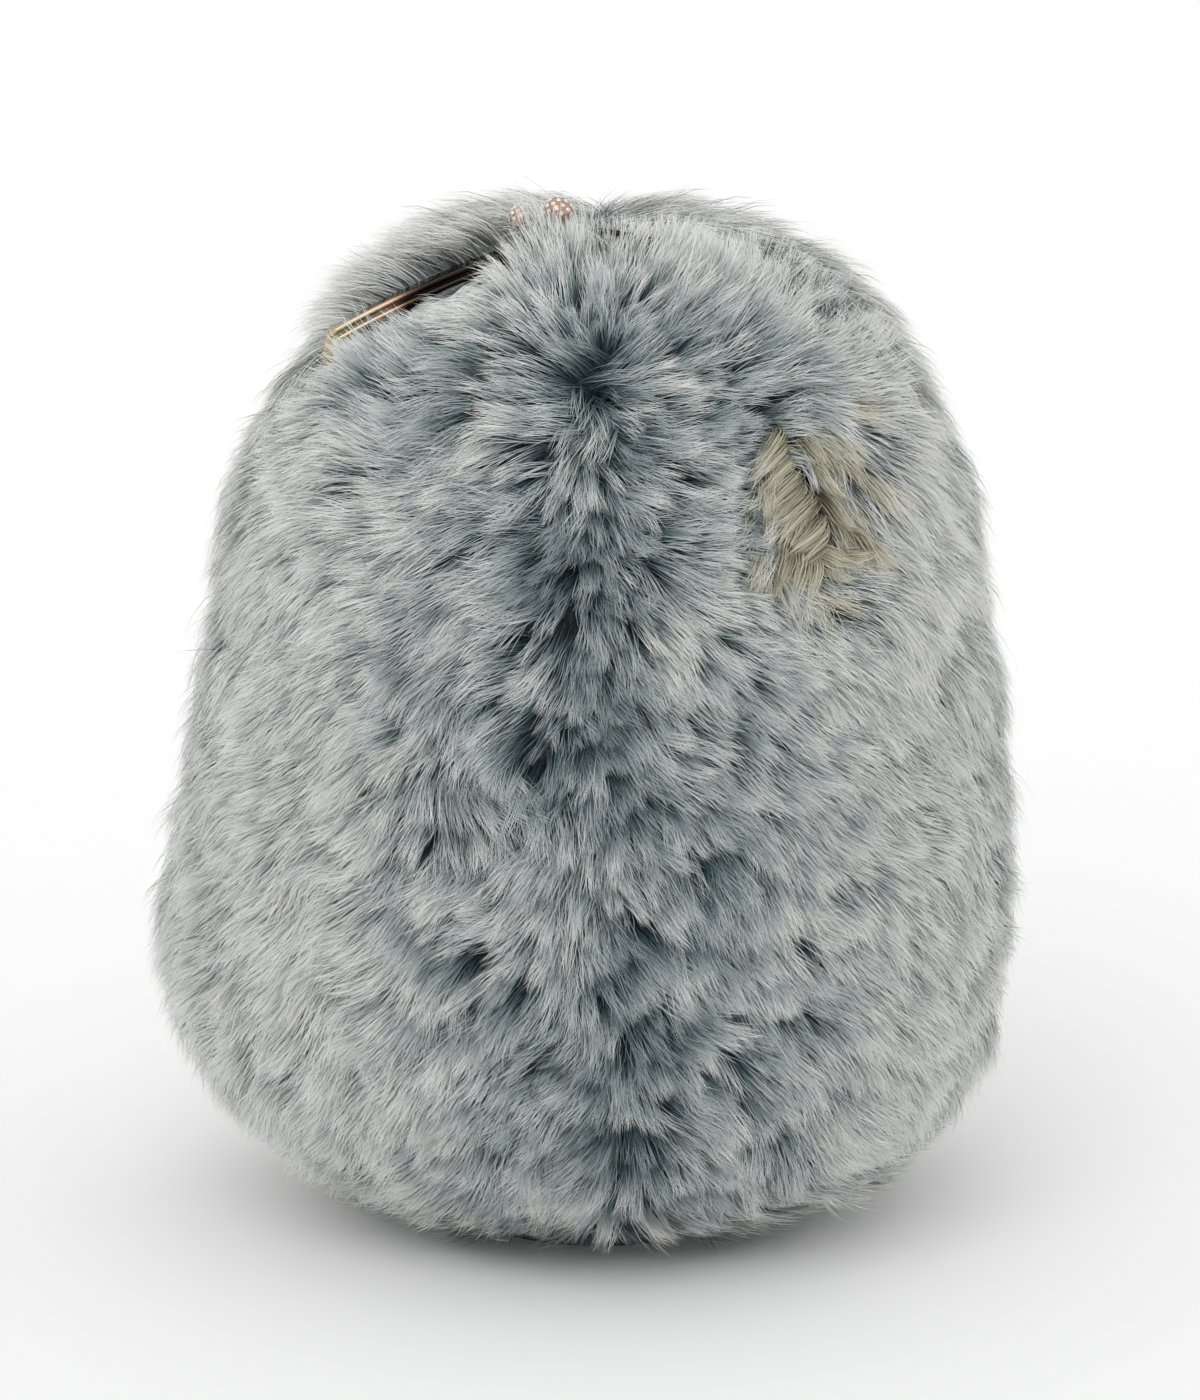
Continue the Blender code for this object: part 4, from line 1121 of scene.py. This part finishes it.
def pitted_foam(node, body):
    """A packed foam piece rebuilt with rounded edges and a skin of shallow pits."""
    source = bpy.data.objects.new("foam_source", packed[node].data.copy())
    bpy.context.scene.collection.objects.link(source)
    remesh = source.modifiers.new("skin", "REMESH")
    remesh.mode = "VOXEL"
    remesh.voxel_size = FOAM_VOXEL
    soften = source.modifiers.new("soften", "SMOOTH")
    soften.factor = 0.5
    soften.iterations = FOAM_SOFTEN
    bpy.context.view_layer.update()
    graph = bpy.context.evaluated_depsgraph_get()
    mesh = bpy.data.meshes.new_from_object(source.evaluated_get(graph))
    bpy.data.objects.remove(source)
    places = np.empty(len(mesh.vertices) * 3)
    outward = np.empty_like(places)
    mesh.vertices.foreach_get("co", places)
    mesh.vertex_normals.foreach_get("vector", outward)
    places, outward = places.reshape(-1, 3), outward.reshape(-1, 3)
    pits = np.abs(waves(places, PIT_LENGTH, 51)) + np.abs(waves(places, 2 * PIT_LENGTH, 52))
    places = places - outward * (PIT_DEPTH * np.clip(pits, 0, 2))[:, None]
    mesh.vertices.foreach_set("co", places.ravel())
    mesh.shade_smooth()
    mesh.materials.clear()
    piece = linked(node.replace("foam", "pitted_foam"), mesh, FINISHES["foam"])
    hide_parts(node)
    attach(piece, body)


# ---- the rolled edges along the rails
ARCH_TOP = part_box("frame_rail_front")[1].z
ARCH_HALF = 53 * MM  # the rails' upper edge falls from the middle to here by the drop, along a power curve
ARCH_DROP = 20.5 * MM
ARCH_POWER = 1.45
RAIL_HALF = 0.75 * MM  # half a rail's thickness
BEAD_DROPS = (0.8 * MM, 2.5 * MM)  # depth of each bead's middle below the rail's upper edge
BEAD_HALF_HIGH = 0.72 * MM
BEAD_PROUD = 0.5 * MM
BEAD_STEPS = 72
BEAD_SIDES = 12


def tube_mesh(name, rings):
    """A closed tube through rings of points."""
    tube = bmesh.new()
    rows = [[tube.verts.new(point) for point in ring] for ring in rings]
    skin_rings(tube, rows)
    tube.faces.new(rows[0])
    tube.faces.new(rows[-1])
    bmesh.ops.recalc_face_normals(tube, faces=tube.faces[:])
    return mesh_of(name, tube)


def rolled_edge(half, index, drop):
    """A polished bead along a rail's outer face, a set way under the rail's upper edge."""
    outward = -1 if half == "front" else 1
    low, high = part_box(f"mouth_binding_{half}")
    face_y = (low.y + high.y) / 2 + outward * RAIL_HALF
    xs = np.linspace(-ARCH_HALF, ARCH_HALF, BEAD_STEPS)
    heights = ARCH_TOP - ARCH_DROP * np.abs(xs / ARCH_HALF) ** ARCH_POWER
    path = np.stack([xs, np.full(BEAD_STEPS, face_y), heights], axis=1)
    along = unit(np.gradient(path, axis=0))
    down = np.stack([along[:, 2], np.zeros(BEAD_STEPS), -along[:, 0]], axis=1)
    path = path + down * drop
    proud = np.array([0, BEAD_PROUD, 0])
    turns = circle_angles(BEAD_SIDES)
    rings = [
        [place + way * BEAD_HALF_HIGH * math.cos(a) + proud * math.sin(a) for a in turns]
        for place, way in zip(path, down)
    ]
    name = f"rail_rolled_edge_{half}_{index}"
    mesh = tube_mesh(name, rings)
    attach(linked(name, mesh, FINISHES["frame_rail"]), f"{half}_half")


# ---- the cord lock's spring
SPRING_WIRE = 0.3 * MM  # radius of the wire
COIL_TURNS = 3
COIL_STEPS = 48
COIL_SIDES = 10


def lock_spring():
    """A round coil, which moves with the cord lock."""
    low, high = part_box("cord_lock_spring")
    middle = (low + high) / 2
    radius = (high.y - low.y) / 2 - SPRING_WIRE
    start = low.x + SPRING_WIRE
    length = high.x - SPRING_WIRE - start
    turns = circle_angles(COIL_SIDES)
    sideways = Vector((SPRING_WIRE, 0, 0))
    rings = []
    for step in range(COIL_TURNS * COIL_STEPS + 1):
        angle = 2 * math.pi * step / COIL_STEPS
        outward = Vector((0, math.cos(angle), math.sin(angle)))
        along = start + length * step / (COIL_TURNS * COIL_STEPS)
        place = Vector((along, middle.y, middle.z)) + outward * radius
        rings.append([place + outward * SPRING_WIRE * math.cos(a) + sideways * math.sin(a) for a in turns])
    mesh = tube_mesh("lock_coil", rings)
    piece = linked("lock_coil", mesh, FINISHES["cord_lock_spring"])
    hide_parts("cord_lock_spring")
    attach(piece, "cord_lock")
    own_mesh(piece)


lock_spring()

# ---- the stones set in the clasp knobs
STONE_RADIUS = 0.52 * MM
STONE_SIDES = 8
STONES = 48  # places spread over a whole knob
STONES_END = -0.15  # height, as a share of the radius, below which places stay empty
GOLDEN_TURN = math.pi * (3 - math.sqrt(5))


def add_stone(sheet, place, outward):
    """A cut stone: a flat table, sloping crown facets and a pointed pavilion."""
    side = outward.orthogonal().normalized()
    third = outward.cross(side)

    def ring(radius, height):
        middle = place + outward * height
        spokes = [side * math.cos(a) + third * math.sin(a) for a in circle_angles(STONE_SIDES)]
        return [sheet.verts.new(middle + spoke * radius) for spoke in spokes]

    table = ring(STONE_RADIUS * 0.55, STONE_RADIUS * 0.45)
    girdle = ring(STONE_RADIUS, 0)
    point = sheet.verts.new(place - outward * STONE_RADIUS * 0.7)
    sheet.faces.new(table)
    for step in range(STONE_SIDES):
        after = (step + 1) % STONE_SIDES
        sheet.faces.new((girdle[step], girdle[after], table[after], table[step]))
        sheet.faces.new((girdle[after], girdle[step], point))


def set_stones(half):
    """Stones spread evenly over a clasp knob, down to a little below its waist."""
    low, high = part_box(f"clasp_knob_{half}")
    radius = (high.x - low.x) / 2
    middle = Vector(((low.x + high.x) / 2, (low.y + high.y) / 2, high.z - radius))
    sheet = bmesh.new()
    for index in range(STONES):
        height = 1 - 2 * (index + 0.5) / STONES
        if height < STONES_END:
            continue
        turn = index * GOLDEN_TURN
        flat = math.sqrt(1 - height**2)
        outward = Vector((flat * math.cos(turn), flat * math.sin(turn), height))
        add_stone(sheet, middle + outward * radius, outward)
    name = f"clasp_stones_{half}"
    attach(linked(name, mesh_of(name, sheet), STONE), f"{half}_half")


for half in ("front", "rear"):
    pitted_foam(f"foam_core_{half}", "cover")
    pitted_foam(f"foam_lobe_{half}", f"{half}_half")
    for index, drop in enumerate(BEAD_DROPS, 1):
        rolled_edge(half, index, drop)
    set_stones(half)


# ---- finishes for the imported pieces
def finish_packed(name, node):
    """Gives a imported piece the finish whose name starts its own."""
    for start, material in FINISHES.items():
        if name.startswith(start):
            node.data.materials.clear()
            node.data.materials.append(material)
            return


for name, node in packed.items():
    finish_packed(name, node)

# ---- stage, lights and camera
scene = bpy.context.scene
scene.view_settings.view_transform = "Standard"
world = bpy.data.worlds.new("studio")
scene.world = world
world.use_nodes = True
sky = {"Color": (1.0, 1.0, 1.0, 1.0), "Strength": 0.92}
connect(world.node_tree, world.node_tree.nodes["Background"], sky)

FLOOR_HALF = 6.0
floor_mesh = bpy.data.meshes.new("floor")
signs = ((-1, -1), (1, -1), (1, 1), (-1, 1))
floor_mesh.from_pydata([(x * FLOOR_HALF, y * FLOOR_HALF, 0) for x, y in signs], [], [(0, 1, 2, 3)])
floor = bpy.data.objects.new("floor", floor_mesh)
floor_paint, _, floor_shader = blank_material("floor_paint", 0.9)
floor_shader.inputs["Base Color"].default_value = (0.93, 0.93, 0.93, 1)
floor_mesh.materials.append(floor_paint)
scene.collection.objects.link(floor)

sun = bpy.data.objects.new("key", bpy.data.lights.new("key", "SUN"))
sun.data.energy = 0.7
sun.data.angle = math.radians(45)
sun.rotation_euler = Vector((0.25, 0.8, -0.85)).to_track_quat("-Z", "Y").to_euler()
scene.collection.objects.link(sun)

ELEVATION = math.radians(15)
DISTANCE = 1.4
target = Vector((0, 0, 0.1051))
camera = bpy.data.objects.new("camera", bpy.data.cameras.new("camera"))
camera.location = target + DISTANCE * Vector((0, -math.cos(ELEVATION), math.sin(ELEVATION)))
camera.rotation_euler = (math.pi / 2 - ELEVATION, 0, 0)
camera.data.lens = 180
camera.data.clip_start = 0.01
scene.collection.objects.link(camera)
scene.camera = camera
